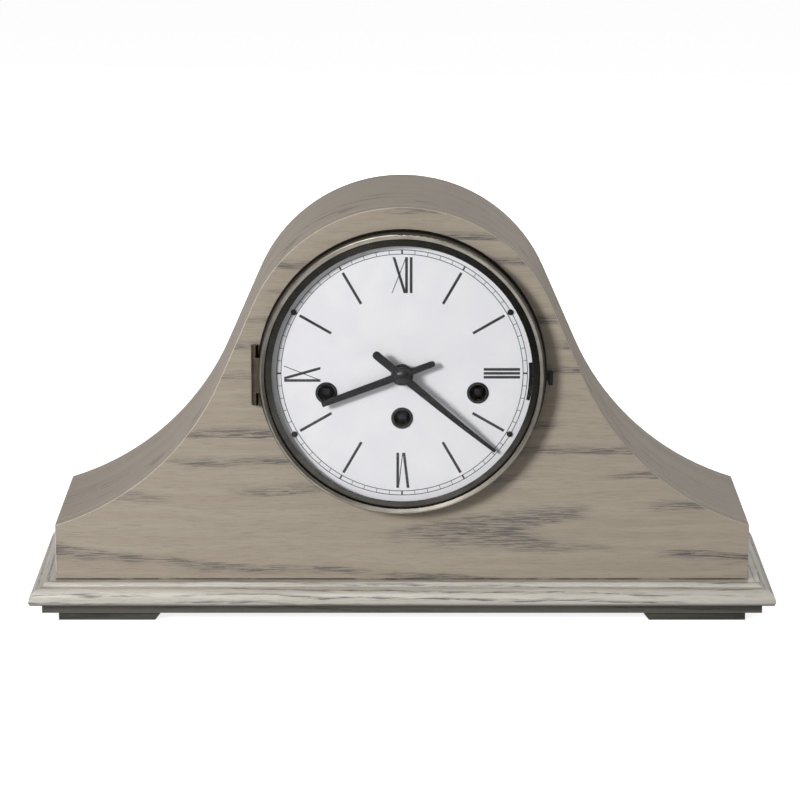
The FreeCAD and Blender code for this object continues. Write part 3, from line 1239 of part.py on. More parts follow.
def back_knuckle(bottom, height, bore):
    place = at(BACK_HINGE_X, BACK_HINGE_F, bottom)
    return Part.makeCylinder(BACK_KNUCKLE_R, height, place).cut(Part.makeCylinder(bore, height, place))


def back_leaf(side, z, lower_half):
    """Half of a small hinge on the back: side -1 is on the frame and 1 on the door."""
    bottom = z - BACK_LEAF_H / 2
    top = z + BACK_LEAF_H / 2
    half_l = (BACK_LEAF_H - KNUCKLE_GAP) / 2
    start = bottom if lower_half else top - half_l
    bore = BACK_PIN_R if side < 0 else BACK_PIN_R + RUN
    near = BACK_HINGE_X + side * (BACK_KNUCKLE_R + GAP)
    far = BACK_HINGE_X + side * (BACK_KNUCKLE_R + BACK_LEAF_W)
    low = CASE_BACK_F - BACK_LEAF_T
    pad = block(min(near, far), max(near, far), low, CASE_BACK_F, bottom, top)
    strap = block(min(BACK_HINGE_X, far), max(BACK_HINGE_X, far), low, CASE_BACK_F,
                  start, start + half_l)
    hole = Part.makeCylinder(bore, half_l, at(BACK_HINGE_X, BACK_HINGE_F, start))
    return joined([pad, strap, back_knuckle(start, half_l, bore)]).cut(hole)


def back_hinge_frame_leaves():
    """Leaves on the frame, each with its pin."""
    halves = []
    for z in BACK_HINGE_ZS:
        foot_of_pin = at(BACK_HINGE_X, BACK_HINGE_F, z - BACK_LEAF_H / 2)
        pin = Part.makeCylinder(BACK_PIN_R, BACK_LEAF_H, foot_of_pin)
        halves.append(joined([back_leaf(-1, z, True), pin]))
    return group(halves)


def back_hinge_door_leaves():
    return group([back_leaf(1, z, False) for z in BACK_HINGE_ZS])


def back_door():
    return back_opening(BACK_DOOR_GAP, CASE_BACK_F, CASE_BACK_F + BACK_T)


def back_door_knob():
    """Small turned knob, seen from behind at the door's free edge."""
    place = (BACK_OPENING_R - KNOB_IN, CASE_Z + KNOB_UP)
    low = CASE_BACK_F - KNOB_L
    head = bar(place, KNOB_R, low, CASE_BACK_F - KNOB_NECK_L)
    head = head.makeFillet((KNOB_L - KNOB_NECK_L) / 3, head.Edges)
    return joined([head, bar(place, KNOB_NECK_R, CASE_BACK_F - KNOB_NECK_L - OVERRUN, CASE_BACK_F)])


def build():
    """Every sub-part by the name of its node."""
    screws = dial_screws()
    long_screws = movement_screws()
    rods = [chime_rod(k) for k in range(HAMMERS)]
    parts = {
        "case_front": case_front([*screws, *long_screws]),
        "case_hood": case_hood(),
        "back_frame": back_frame(),
        "plinth": plinth(),
        "feet": feet(),
        "dial_ring": dial_ring(screws),
        "dial_plate": dial_plate(screws),
        "dial_screws": group(screws),
        "winding_grommets": winding_grommets(),
        "chime_silent_lever": chime_silent_lever(),
        "bezel_ring": bezel_ring(),
        "bezel_inner_ring": bezel_inner_ring(),
        "door_glass": door_glass(),
        "glass_retainer": glass_retainer(),
        "door_pull_tab": door_pull_tab(),
        "door_hinge_leaf": door_hinge_leaf(),
        "case_hinge_leaf": case_hinge_leaf(),
        "door_hinge_pin": door_hinge_pin(),
        "hour_hand": hour_hand(),
        "minute_hand": minute_hand(),
        "hand_nut": hand_nut(),
        "centre_arbor": centre_arbor(),
        "cannon_pinion": cannon_pinion(),
        "minute_wheel": minute_wheel(),
        "hour_wheel": hour_wheel(),
        "front_plate": front_plate(long_screws),
        "back_plate": back_plate(),
        "plate_pillars": plate_pillars(),
        "pillar_nuts": pillar_nuts(),
        "movement_spacers": movement_spacers(),
        "movement_screws": group(long_screws),
        "time_barrel": barrel(TIME, TIME_DRUM_F, TIME_DRUM_F - TIME_DRUM_L, TIME_GREAT_F, 90),
        "chime_barrel": barrel(CHIME, SIDE_DRUM_F, SIDE_GREAT_F, SIDE_GREAT_F, CHIME_DRUM_ANGLE),
        "strike_barrel": barrel(STRIKE, SIDE_DRUM_F, SIDE_GREAT_F, SIDE_GREAT_F, STRIKE_ANGLE),
        "third_wheel": third_wheel(),
        "escape_wheel": escape_wheel(),
        "pallet_fork": pallet_fork(),
        "balance_wheel": balance_wheel(),
        "balance_cock": balance_cock(),
        "chime_drum": chime_drum(),
        "chime_fly": chime_fly(),
        "strike_second_wheel": strike_second_wheel(),
        "strike_fly": strike_fly(),
        "hammer_frame": hammer_frame(),
        "chime_rods": group(rods),
        "rod_block": rod_block(rods),
        "back_door": back_door(),
        "back_hinge_frame_leaves": back_hinge_frame_leaves(),
        "back_hinge_door_leaves": back_hinge_door_leaves(),
        "back_door_knob": back_door_knob(),
    }
    for name, place in WINDINGS.items():
        parts[name + "_winding_arbor"] = winding_arbor(place)
        parts[name + "_click"] = click(name)
    for k, f in enumerate(HAMMER_FS):
        parts[f"chime_hammer_{k + 1}"] = hammer(f)
    return parts


os.makedirs("parts", exist_ok=True)
for node, shape in build().items():
    shape.exportStep(f"parts/{node}.step")
    print(node, len(shape.Solids), "valid" if shape.isValid() else "broken", round(shape.Volume))
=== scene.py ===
import json
import math

import bmesh
import bpy
from mathutils import Matrix, Vector


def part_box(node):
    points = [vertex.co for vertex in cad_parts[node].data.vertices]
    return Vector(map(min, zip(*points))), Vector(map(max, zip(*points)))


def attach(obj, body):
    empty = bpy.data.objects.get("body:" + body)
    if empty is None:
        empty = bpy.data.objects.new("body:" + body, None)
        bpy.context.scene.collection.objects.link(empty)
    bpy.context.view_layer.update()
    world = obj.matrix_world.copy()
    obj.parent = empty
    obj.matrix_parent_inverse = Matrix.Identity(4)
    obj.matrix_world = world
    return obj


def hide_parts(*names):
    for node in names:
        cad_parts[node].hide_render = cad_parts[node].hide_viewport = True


# Lengths in this script are in metres, as in the frame, and MM turns millimetres into them.
MM = 0.001

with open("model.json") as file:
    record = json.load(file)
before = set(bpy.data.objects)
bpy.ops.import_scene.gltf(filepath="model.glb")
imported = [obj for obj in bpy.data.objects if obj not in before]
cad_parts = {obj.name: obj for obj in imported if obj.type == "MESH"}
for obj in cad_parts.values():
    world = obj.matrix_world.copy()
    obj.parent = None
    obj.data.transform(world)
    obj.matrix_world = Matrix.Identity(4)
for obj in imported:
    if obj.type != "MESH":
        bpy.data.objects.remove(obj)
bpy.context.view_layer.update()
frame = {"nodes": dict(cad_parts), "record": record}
nodes = frame["nodes"]

# Places that pieces and finishes share, read from the frame
dial_low, dial_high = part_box("dial_plate")
DIAL_X = (dial_low.x + dial_high.x) / 2
DIAL_Z = (dial_low.z + dial_high.z) / 2
DIAL_FRONT = dial_low.y
WOOD_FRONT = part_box("case_front")[0].y
CASE_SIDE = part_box("case_front")[1].x
HOOD_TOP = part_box("case_hood")[1].z


def tone(red, green, blue):
    """A screen colour of 0 to 255 a channel, as the shader wants it."""
    def channel(value):
        share = value / 255
        if share <= 0.04045:
            return share / 12.92
        return ((share + 0.055) / 1.055) ** 2.4
    return (channel(red), channel(green), channel(blue), 1.0)


def add(tree, kind, wires=None, **settings):
    """A node with its settings, and each named input given a value or wired from a socket."""
    made = tree.nodes.new(kind)
    for name, value in settings.items():
        setattr(made, name, value)
    for name, value in (wires or {}).items():
        if isinstance(value, bpy.types.NodeSocket):
            tree.links.new(value, made.inputs[name])
        else:
            made.inputs[name].default_value = value
    return made


def calc(tree, operation, first, second=None, third=None):
    """One sum of a Math node."""
    wires = {0: first}
    if second is not None:
        wires[1] = second
    if third is not None:
        wires[2] = third
    return add(tree, "ShaderNodeMath", wires, operation=operation).outputs[0]


def axes(tree, vector):
    """The X, Y and Z of a vector."""
    return add(tree, "ShaderNodeSeparateXYZ", {0: vector}).outputs


def facing(tree):
    """The X, Y and Z of the way that the surface faces."""
    return axes(tree, add(tree, "ShaderNodeTexCoord").outputs["Normal"])


def stretch(tree, vector, scale):
    """The vector with each of its numbers multiplied."""
    return add(tree, "ShaderNodeVectorMath", {0: vector, 1: scale}, operation="MULTIPLY").outputs[0]


def ramp(tree, value, low, high, to_low=0.0, to_high=1.0):
    """A soft step: to_low below low, to_high above high."""
    wires = {"Value": value, "From Min": low, "From Max": high, "To Min": to_low, "To Max": to_high}
    return add(tree, "ShaderNodeMapRange", wires, interpolation_type="SMOOTHSTEP").outputs["Result"]


def speckle(tree, vector, size=1.0, detail=2.0, roughness=0.5):
    """Cloudy noise between 0 and 1."""
    wires = {"Vector": vector, "Scale": size, "Detail": detail, "Roughness": roughness}
    return add(tree, "ShaderNodeTexNoise", wires).outputs["Fac"]


def blend(tree, share, first, second, way="MIX"):
    """Two colours mixed."""
    made = add(tree, "ShaderNodeMix", data_type="RGBA", blend_type=way)
    for place, value in ((0, share), (6, first), (7, second)):
        if isinstance(value, bpy.types.NodeSocket):
            tree.links.new(value, made.inputs[place])
        else:
            made.inputs[place].default_value = value
    return made.outputs[2]


def effect(name, inputs, outputs):
    """An empty node group with those named sockets."""
    group = bpy.data.node_groups.new(name, "ShaderNodeTree")
    for label, kind, value in inputs:
        socket = group.interface.new_socket(label, in_out="INPUT", socket_type="NodeSocket" + kind)
        if value is not None:
            socket.default_value = value
    for label, kind in outputs:
        group.interface.new_socket(label, in_out="OUTPUT", socket_type="NodeSocket" + kind)
    inside = group.nodes.new("NodeGroupInput")
    outside = group.nodes.new("NodeGroupOutput")
    return group, inside.outputs, outside.inputs


def use(tree, group, **values):
    """That group placed in a material, with its own values."""
    made = tree.nodes.new("ShaderNodeGroup")
    made.node_tree = group
    for name, value in values.items():
        label = name.replace("_", " ").title()
        if isinstance(value, bpy.types.NodeSocket):
            tree.links.new(value, made.inputs[label])
        else:
            made.inputs[label].default_value = value
    return made.outputs


def open_grain():
    """Growth rings cut by the board's face, with rows of dark filled pores along them."""
    group, given, out = effect(
        "open_grain",
        [("Along", "Vector", None), ("Heart Height", "Float", 0.0), ("Heart Depth", "Float", 0.0),
         ("Lean", "Float", 0.0), ("Ring", "Float", 9.0), ("Patches", "Float", 0.5),
         ("Wash", "Color", None), ("Pale", "Color", None), ("Filler", "Color", None)],
        [("Color", "Color"), ("Height", "Float"), ("Roughness", "Float")])
    tree = group
    along = given["Along"]
    wander = speckle(tree, stretch(tree, along, (0.006, 0.018, 0.018)), detail=2.0)
    ripple = speckle(tree, stretch(tree, along, (0.022, 0.10, 0.10)), detail=3.0, roughness=0.55)
    parts = axes(tree, along)
    fibre = calc(tree, "MULTIPLY_ADD", wander, 10.0, parts["Z"])
    rippled = calc(tree, "MULTIPLY_ADD", ripple, 7.0, fibre)
    height = calc(tree, "SUBTRACT", rippled, given["Heart Height"])
    leaned = calc(tree, "MULTIPLY_ADD", parts["X"], given["Lean"], given["Heart Depth"])
    depth = calc(tree, "ADD", leaned, parts["Y"])
    squares = calc(tree, "ADD", calc(tree, "MULTIPLY", depth, depth),
                   calc(tree, "MULTIPLY", height, height))
    phase = calc(tree, "FRACT", calc(tree, "DIVIDE", calc(tree, "SQRT", squares), given["Ring"]))
    spring = calc(tree, "MULTIPLY", ramp(tree, phase, 0.0, 0.08),
                  ramp(tree, phase, 0.16, 0.46, 1.0, 0.0))
    cloud = speckle(tree, stretch(tree, along, (0.011, 0.055, 0.055)), detail=2.0)
    edge = calc(tree, "SUBTRACT", 1.0, given["Patches"])
    patch = ramp(tree, cloud, calc(tree, "SUBTRACT", edge, 0.07), calc(tree, "ADD", edge, 0.07))
    band = calc(tree, "MULTIPLY", spring, patch)
    run = add(tree, "ShaderNodeCombineXYZ", {0: parts["X"], 1: parts["Y"], 2: fibre}).outputs[0]
    dashes = speckle(tree, stretch(tree, run, (0.07, 2.3, 2.3)), detail=2.0, roughness=0.5)
    broad = speckle(tree, stretch(tree, run, (0.04, 1.4, 1.4)), detail=2.0, roughness=0.5)
    fine = speckle(tree, stretch(tree, run, (0.09, 3.0, 3.0)), detail=2.0, roughness=0.6)
    thin = calc(tree, "MULTIPLY", ramp(tree, dashes, 0.53, 0.57), band)
    thick = calc(tree, "MULTIPLY", ramp(tree, broad, 0.58, 0.62), calc(tree, "MULTIPLY", band, 0.8))
    spare = calc(tree, "MULTIPLY", ramp(tree, fine, 0.55, 0.63),
                 calc(tree, "MULTIPLY_ADD", band, 0.40, 0.26))
    pores = calc(tree, "MAXIMUM", calc(tree, "MAXIMUM", thin, thick), spare)
    streak = speckle(tree, stretch(tree, run, (0.012, 0.30, 0.30)), detail=3.0, roughness=0.6)
    wash = blend(tree, ramp(tree, streak, 0.30, 0.72), given["Wash"], given["Pale"])
    shaded = blend(tree, calc(tree, "MULTIPLY", band, 0.16), wash, given["Filler"])
    colour = blend(tree, calc(tree, "MULTIPLY", pores, 0.82), shaded, given["Filler"])
    tree.links.new(colour, out["Color"])
    tree.links.new(calc(tree, "SUBTRACT", calc(tree, "MULTIPLY", streak, 0.15), pores), out["Height"])
    tree.links.new(calc(tree, "MULTIPLY_ADD", pores, 0.2, calc(tree, "MULTIPLY_ADD", streak, 0.08, 0.40)),
                   out["Roughness"])
    return group


def soft_edges():
    """A rounded normal along sharp edges, and a mask of those edges."""
    group, given, out = effect(
        "soft_edges", [("Round", "Float", 0.0006)], [("Normal", "Vector"), ("Edge", "Float")])
    rounded = add(group, "ShaderNodeBevel", {"Radius": given["Round"]}, samples=6).outputs[0]
    flat = add(group, "ShaderNodeNewGeometry").outputs["Normal"]
    facing = add(group, "ShaderNodeVectorMath", {0: rounded, 1: flat}, operation="DOT_PRODUCT")
    bent = calc(group, "SUBTRACT", 1.0, facing.outputs["Value"])
    group.links.new(rounded, out["Normal"])
    group.links.new(ramp(group, bent, 0.02, 0.16), out["Edge"])
    return group


def brushed():
    """Fine scratches along one way, with slow clouds of tarnish."""
    group, given, out = effect(
        "brushed",
        [("Along", "Vector", None), ("Bright", "Color", None), ("Dull", "Color", None),
         ("Rough", "Float", 0.3), ("Spread", "Float", 0.12)],
        [("Color", "Color"), ("Roughness", "Float"), ("Height", "Float")])
    lines = speckle(group, stretch(group, given["Along"], (40.0, 2500.0, 2500.0)), detail=3.0)
    cloud = speckle(group, given["Along"], 90.0, 4.0, 0.6)
    group.links.new(blend(group, ramp(group, cloud, 0.35, 0.7), given["Bright"], given["Dull"]),
                    out["Color"])
    spread = calc(group, "MULTIPLY_ADD", lines, given["Spread"], given["Rough"])
    group.links.new(calc(group, "MULTIPLY_ADD", cloud, given["Spread"], spread), out["Roughness"])
    group.links.new(lines, out["Height"])
    return group


OPEN_GRAIN = open_grain()
SOFT_EDGES = soft_edges()
BRUSHED = brushed()


def material(name):
    """A new material with its Principled shader and its Object coordinates."""
    made = bpy.data.materials.new(name)
    made.use_nodes = True
    tree = made.node_tree
    shader = tree.nodes["Principled BSDF"]
    place = add(tree, "ShaderNodeTexCoord").outputs["Object"]
    return made, tree, shader, place


def grain_way(tree, place, turn=(0, 0, 0), shift=(0, 0, 0), way=(1000, 1000, 1000)):
    """Object coordinates in millimetres, turned so that X runs along the grain."""
    wires = {"Vector": place, "Location": shift, "Rotation": turn, "Scale": way}
    return add(tree, "ShaderNodeMapping", wires).outputs[0]


def mitred(tree, place, half_width, front):
    """Coordinates whose X runs along each side of a moulding, changing at its mitred corners."""
    parts = axes(tree, place)
    aside = calc(tree, "SUBTRACT", calc(tree, "ABSOLUTE", parts["X"]), half_width)
    ahead = calc(tree, "SUBTRACT", front, parts["Y"])
    turned = calc(tree, "GREATER_THAN", aside, calc(tree, "MAXIMUM", ahead, 0.0))
    swapped = add(tree, "ShaderNodeCombineXYZ", {0: parts["Y"], 1: parts["X"], 2: parts["Z"]}).outputs[0]
    mixed = add(tree, "ShaderNodeMix", {"Factor": turned}, data_type="VECTOR")
    tree.links.new(place, mixed.inputs[4])
    tree.links.new(swapped, mixed.inputs[5])
    return mixed.outputs[1]


def bent_way(tree, place):
    """Millimetres along the bent hood from its crest, then its thickness and its depth."""
    parts = axes(tree, place)
    fall = calc(tree, "SUBTRACT", HOOD_TOP, parts["Z"])
    down = calc(tree, "MULTIPLY", calc(tree, "SIGN", parts["X"]), fall)
    reach = add(tree, "ShaderNodeCombineXYZ",
                {0: calc(tree, "ADD", parts["X"], down), 2: parts["Y"]}).outputs[0]
    return stretch(tree, reach, (600, 1000, 1000))


def oak_grain(tree, along, heart, lean, ring, patches, colours):
    """The shared grain with one board's own cut and colours."""
    return use(tree, OPEN_GRAIN, along=along, heart_height=heart[0], heart_depth=heart[1], lean=lean,
               ring=ring, patches=patches, wash=colours[0], pale=colours[1], filler=colours[2])


def finish_wood(tree, shader, colour, wood, rubbed_share, rough_more=0.0, round_edge=0.0005):
    """Colour, gloss and relief of a wooden piece, with its corners rubbed pale."""
    edges = use(tree, SOFT_EDGES, round=round_edge)
    rubbed = calc(tree, "MULTIPLY", edges["Edge"], rubbed_share)
    tree.links.new(blend(tree, rubbed, colour, RUBBED), shader.inputs["Base Color"])
    tree.links.new(calc(tree, "ADD", wood["Roughness"], rough_more), shader.inputs["Roughness"])
    relief = add(tree, "ShaderNodeBump", {"Height": wood["Height"], "Normal": edges["Normal"],
                                          "Strength": 0.4, "Distance": 0.00010})
    tree.links.new(relief.outputs[0], shader.inputs["Normal"])


def washed_oak(name, colours, heart, lean, ring, patches, way=grain_way, rubbed=0.3, rough_more=0.0,
               shine=0.5):
    """Grey-washed oak whose grain runs along the given way."""
    made, tree, shader, place = material(name)
    wood = oak_grain(tree, way(tree, place), heart, lean, ring, patches, colours)
    finish_wood(tree, shader, wood["Color"], wood, rubbed, rough_more)
    shader.inputs["Specular IOR Level"].default_value = shine
    return made


RUBBED = tone(224, 214, 197)
FRONT_COLOURS = (tone(161, 150, 135), tone(168, 158, 143), tone(84, 85, 88))
# The hood's colours are the front's oak made darker, painted shade for its upward-facing surface
HOOD_SHADED_COLOURS = (tone(140, 130, 117), tone(148, 139, 127), tone(96, 92, 87))
PLINTH_COLOURS = (tone(184, 178, 167), tone(203, 199, 190), tone(78, 79, 82))
FOOT_SHADED_COLOURS = (tone(50, 52, 43), tone(66, 68, 57), tone(26, 28, 26))
INNER_COLOURS = (tone(150, 136, 114), tone(162, 149, 127), tone(112, 100, 84))
PLINTH_SIDE_SHADE = tone(116, 103, 89)
PLINTH_TOP_SHADE = tone(140, 128, 114)
PLINTH_LIP_SHADE = tone(52, 46, 38)
JOINT_FILLER = tone(52, 50, 52)

# Heights between which a colour fades: the joint on the plinth, the rubbed corners, and the painted shade
# under the plinth's lip
JOINT_FADE = (23.8 * MM, 24.6 * MM)
RUBBED_FADE = (28.0 * MM, 30.0 * MM)
LIP_SHADE_FADE = (11.2 * MM, 13.0 * MM)


def front_board():
    """Cathedral figure on the face, the hood's veneer with its darker painted-shade tone over its edges,
    dark filler at its foot.
    """
    made, tree, shader, place = material("front_oak")
    face = oak_grain(tree, grain_way(tree, place), (62, 75.7), -0.055, 16.0, 0.52, FRONT_COLOURS)
    side = oak_grain(tree, bent_way(tree, place), *HOOD_CUT, HOOD_SHADED_COLOURS)
    # Painted shade: faces turned away from the front take the hood's darker colours and bent grain
    turned = ramp(tree, calc(tree, "ABSOLUTE", facing(tree)["Y"]), 0.5, 0.6, 1.0, 0.0)
    wood = blend(tree, turned, face["Color"], side["Color"])
    height = axes(tree, place)["Z"]
    broken = speckle(tree, stretch(tree, place, (60, 60, 60)), detail=3.0)
    joint = calc(tree, "MULTIPLY", ramp(tree, height, *JOINT_FADE, 1.0, 0.0),
                 ramp(tree, broken, 0.30, 0.55))
    wood = blend(tree, joint, wood, JOINT_FILLER)
    above = ramp(tree, height, *RUBBED_FADE)
    finish_wood(tree, shader, wood, face, above, 0.10, 0.0010)
    shader.inputs["Specular IOR Level"].default_value = 0.2
    return made


HOOD_CUT = ((-20, 70), 0.10, 3.2, 0.45)
front_oak = front_board()
hood_oak = washed_oak("hood_oak", HOOD_SHADED_COLOURS, *HOOD_CUT, way=bent_way, rubbed=0.15, rough_more=0.10,
                      shine=0.2)
# The feet take a dark greenish stain, darkened further as painted shade for the shadow under the plinth
shaded_foot_wood = washed_oak("shaded_foot_wood", FOOT_SHADED_COLOURS, (-20, 8), 0.03, 5.0, 0.6, rubbed=0.1)
inner_wood = washed_oak("inner_wood", INNER_COLOURS, (90, 20), 0.04, 14.0, 0.40, rubbed=0.3,
                        rough_more=0.14, shine=0.3)


def plinth_board():
    """Moulding with a satin shine, its grain along each side, with painted shade under its lip, on its
    sides and on its upward faces.
    """
    made, tree, shader, place = material("plinth_oak")
    along = grain_way(tree, mitred(tree, place, CASE_SIDE, WOOD_FRONT), shift=(40, 0, 0))
    wood = oak_grain(tree, along, (-14, 86), 0.02, 4.6, 0.60, PLINTH_COLOURS)
    height = axes(tree, place)["Z"]
    # Painted shade: the wood below the plinth's nose is darkened as if it lay in the nose's shadow
    under = calc(tree, "MULTIPLY", ramp(tree, height, *LIP_SHADE_FADE, 1.0, 0.0), 0.90)
    colour = blend(tree, under, wood["Color"], PLINTH_LIP_SHADE)
    ways = facing(tree)
    # Painted shade: faces turned to the sides are darkened, as if less light reached them
    aside = calc(tree, "MULTIPLY", ramp(tree, calc(tree, "ABSOLUTE", ways["X"]), 0.2, 0.6), 0.62)
    colour = blend(tree, aside, colour, PLINTH_SIDE_SHADE)
    # Painted shade: faces that look straight up are darkened
    level = calc(tree, "MULTIPLY", ramp(tree, ways["Z"], 0.80, 0.97), 0.25)
    colour = blend(tree, level, colour, PLINTH_TOP_SHADE)
    finish_wood(tree, shader, colour, wood, 0.25, -0.10)
    return made


plinth_oak = plinth_board()


def metal(name, bright, dull, rough, spread, worn=None, worn_share=0.0, turn=(0, 0, 0), metallic=1.0,
          relief=0.00001, soft=0.0003, shine=0.5, wall_shade=None):
    """A brushed metal; its edges may have their own worn colour, and the walls that don't face the front
    take a painted-shade colour.
    """
    made, tree, shader, place = material(name)
    shader.inputs["Metallic"].default_value = metallic
    shader.inputs["Specular IOR Level"].default_value = shine
    along = add(tree, "ShaderNodeMapping", {"Vector": place, "Rotation": turn}).outputs[0]
    skin = use(tree, BRUSHED, along=along, bright=bright, dull=dull, rough=rough, spread=spread)
    edges = use(tree, SOFT_EDGES, round=soft)
    worn_edge = calc(tree, "MULTIPLY", edges["Edge"], worn_share)
    colour = skin["Color"]
    # Painted shade: walls turned away from the front take a darker colour
    if wall_shade:
        front = calc(tree, "ABSOLUTE", facing(tree)["Y"])
        colour = blend(tree, ramp(tree, front, 0.45, 0.8), wall_shade, colour)
    tree.links.new(blend(tree, worn_edge, colour, worn or bright), shader.inputs["Base Color"])
    tree.links.new(skin["Roughness"], shader.inputs["Roughness"])
    bump = add(tree, "ShaderNodeBump", {"Height": skin["Height"], "Normal": edges["Normal"],
                                        "Strength": 0.4, "Distance": relief})
    tree.links.new(bump.outputs[0], shader.inputs["Normal"])
    return made


dark_bronze = metal("dark_bronze", tone(92, 84, 72), tone(74, 67, 58), 0.26, 0.10,
                    tone(150, 142, 128), 0.5)
# The bezel's side wall gets a darker painted-shade colour beside its brighter front
rim_bronze = metal("rim_bronze", tone(150, 145, 135), tone(132, 127, 118), 0.24, 0.10,
                   tone(150, 146, 136), 0.3, wall_shade=tone(78, 69, 58))
black_metal = metal("black_metal", tone(22, 22, 21), tone(16, 16, 15), 0.30, 0.08,
                    tone(44, 44, 42), 0.4, metallic=0.0, shine=0.25)
hand_black = metal("hand_black", tone(18, 19, 20), tone(13, 14, 15), 0.24, 0.06,
                   tone(38, 38, 38), 0.4, metallic=0.0, shine=0.25, soft=0.0004)
gloss_black = metal("gloss_black", tone(30, 30, 30), tone(22, 22, 22), 0.14, 0.06,
                    tone(84, 82, 78), 0.5, metallic=0.4)
ring_metal = metal("ring_metal", tone(76, 75, 71), tone(62, 61, 57), 0.20, 0.08, tone(96, 94, 90), 0.3)
# Dark steel, darkened further as painted shade so the arbors' ends look like the shadow inside the
# winding holes
blued_steel_and_shade = metal("blued_steel_and_shade", tone(50, 50, 53), tone(36, 36, 39), 0.30, 0.10,
                    tone(96, 96, 100), 0.5)
brass = metal("brass", tone(214, 180, 108), tone(186, 150, 84), 0.22, 0.14, tone(232, 204, 140), 0.6)
steel = metal("steel", tone(192, 192, 190), tone(160, 160, 160), 0.24, 0.14, tone(220, 220, 218), 0.6)
bronze_rod = metal("bronze_rod", tone(190, 150, 100), tone(160, 118, 76), 0.28, 0.12,
                   tone(206, 170, 122), 0.5)
iron = metal("iron", tone(74, 74, 74), tone(56, 56, 57), 0.50, 0.16, tone(104, 104, 104), 0.5)


def enamel():
    """The dial's satin white, with a faint tooth in the paint."""
    made, tree, shader, place = material("dial_white")
    cloud = speckle(tree, place, 60.0, 3.0)
    tree.links.new(blend(tree, ramp(tree, cloud, 0.3, 0.7), tone(232, 232, 235), tone(227, 227, 231)),
                   shader.inputs["Base Color"])
    tooth = speckle(tree, place, 2600.0, 2.0)
    tree.links.new(calc(tree, "MULTIPLY_ADD", tooth, 0.12, 0.40), shader.inputs["Roughness"])
    bump = add(tree, "ShaderNodeBump", {"Height": tooth, "Strength": 0.15, "Distance": 0.00002})
    tree.links.new(bump.outputs[0], shader.inputs["Normal"])
    return made


def ink():
    """Dark dial print, a little uneven."""
    made, tree, shader, place = material("dial_ink")
    cloud = speckle(tree, place, 900.0, 3.0)
    tree.links.new(blend(tree, ramp(tree, cloud, 0.3, 0.7), tone(38, 38, 40), tone(48, 48, 50)),
                   shader.inputs["Base Color"])
    tree.links.new(calc(tree, "MULTIPLY_ADD", cloud, 0.15, 0.42), shader.inputs["Roughness"])
    return made


def glass():
    """Clear glass that lets lamps light what is behind it."""
    made, tree, shader, place = material("clear_glass")
    shader.inputs["Base Color"].default_value = (1.0, 1.0, 1.0, 1.0)
    shader.inputs["Transmission Weight"].default_value = 1.0
    shader.inputs["IOR"].default_value = 1.15
    smear = speckle(tree, place, 40.0, 4.0)
    tree.links.new(ramp(tree, smear, 0.45, 0.8, 0.0, 0.03), shader.inputs["Roughness"])
    through = add(tree, "ShaderNodeBsdfTransparent")
    path = add(tree, "ShaderNodeLightPath").outputs
    lit = calc(tree, "MAXIMUM", path["Is Shadow Ray"], path["Is Diffuse Ray"])
    mixed = add(tree, "ShaderNodeMixShader", {0: lit, 1: shader.outputs[0], 2: through.outputs[0]})
    tree.links.new(mixed.outputs[0], tree.nodes["Material Output"].inputs["Surface"])
    return made


dial_white = enamel()
dial_ink = ink()
clear_glass = glass()

SLOT_FINISHES = {
    "inner_wood": inner_wood,
    "dark_bronze": dark_bronze,
    "black_metal": black_metal,
    "hand_black": hand_black,
    "dial_white": dial_white,
    "clear_glass": clear_glass,
    "brass": brass,
    "steel": steel,
    "bronze_rod": bronze_rod,
    "iron": iron,
}
OWN_FINISHES = {
    "case_front": front_oak,
    "case_hood": hood_oak,
    "plinth": plinth_oak,
    "feet": shaded_foot_wood,
    # Painted shade: the dial ring is black so that what shows through the lever slot looks dark
    "dial_ring": black_metal,
    "bezel_ring": rim_bronze,
    "bezel_inner_ring": ring_metal,
    "winding_grommets": gloss_black,
    "chime_silent_lever": gloss_black,
    "time_winding_arbor": blued_steel_and_shade,
    "chime_winding_arbor": blued_steel_and_shade,
    "strike_winding_arbor": blued_steel_and_shade,
}


def dress_nodes():
    """Each node takes its own finish, or the one of its slot in the record."""
    for entry in frame["record"]["subparts"]:
        finish = OWN_FINISHES.get(entry["node"]) or SLOT_FINISHES[entry["material_slot"]]
        node = nodes[entry["node"]]
        if not node.material_slots:
            node.data.materials.append(finish)
        for slot in node.material_slots:
            slot.material = finish


dress_nodes()


def on_dial(clockwise, out, side=0.0, ahead=0.0):
    """A point of the dial's face: that angle clockwise from the top, out from the centre, then aside."""
    angle = math.radians(clockwise)
    x = DIAL_X + out * math.sin(angle) + side * math.cos(angle)
    z = DIAL_Z + out * math.cos(angle) - side * math.sin(angle)
    return Vector((x, DIAL_FRONT - ahead, z))


def stroke(bm, clockwise, inner, outer, width, inner_side=0.0, outer_side=0.0):
    """A printed bar along the radius, cut square across it; the two sides lean it."""
    start = on_dial(clockwise, inner, inner_side)
    end = on_dial(clockwise, outer, outer_side)
    across = (on_dial(clockwise, inner, inner_side + width) - start)
    deep = Vector((0, -PRINT_T, 0))
    middle = (start + end) / 2 + deep / 2
    shape = Matrix((across, deep, end - start)).transposed().to_4x4()
    bmesh.ops.create_cube(bm, size=1.0, matrix=Matrix.Translation(middle) @ shape)


def band(bm, inner, outer, steps=240):
    """A printed circle of the dial."""
    middle = Vector((DIAL_X, DIAL_FRONT, DIAL_Z))
    corners = [bm.verts.new(on_dial(0, out, ahead=ahead))
               for out, ahead in ((inner, 0), (outer, 0), (outer, PRINT_T), (inner, PRINT_T))]
    edges = [bm.edges.new((corners[i], corners[(i + 1) % 4])) for i in range(4)]
    bmesh.ops.spin(bm, geom=corners + edges, cent=middle, axis=(0, 1, 0), angle=math.tau,
                   steps=steps, use_merge=True)


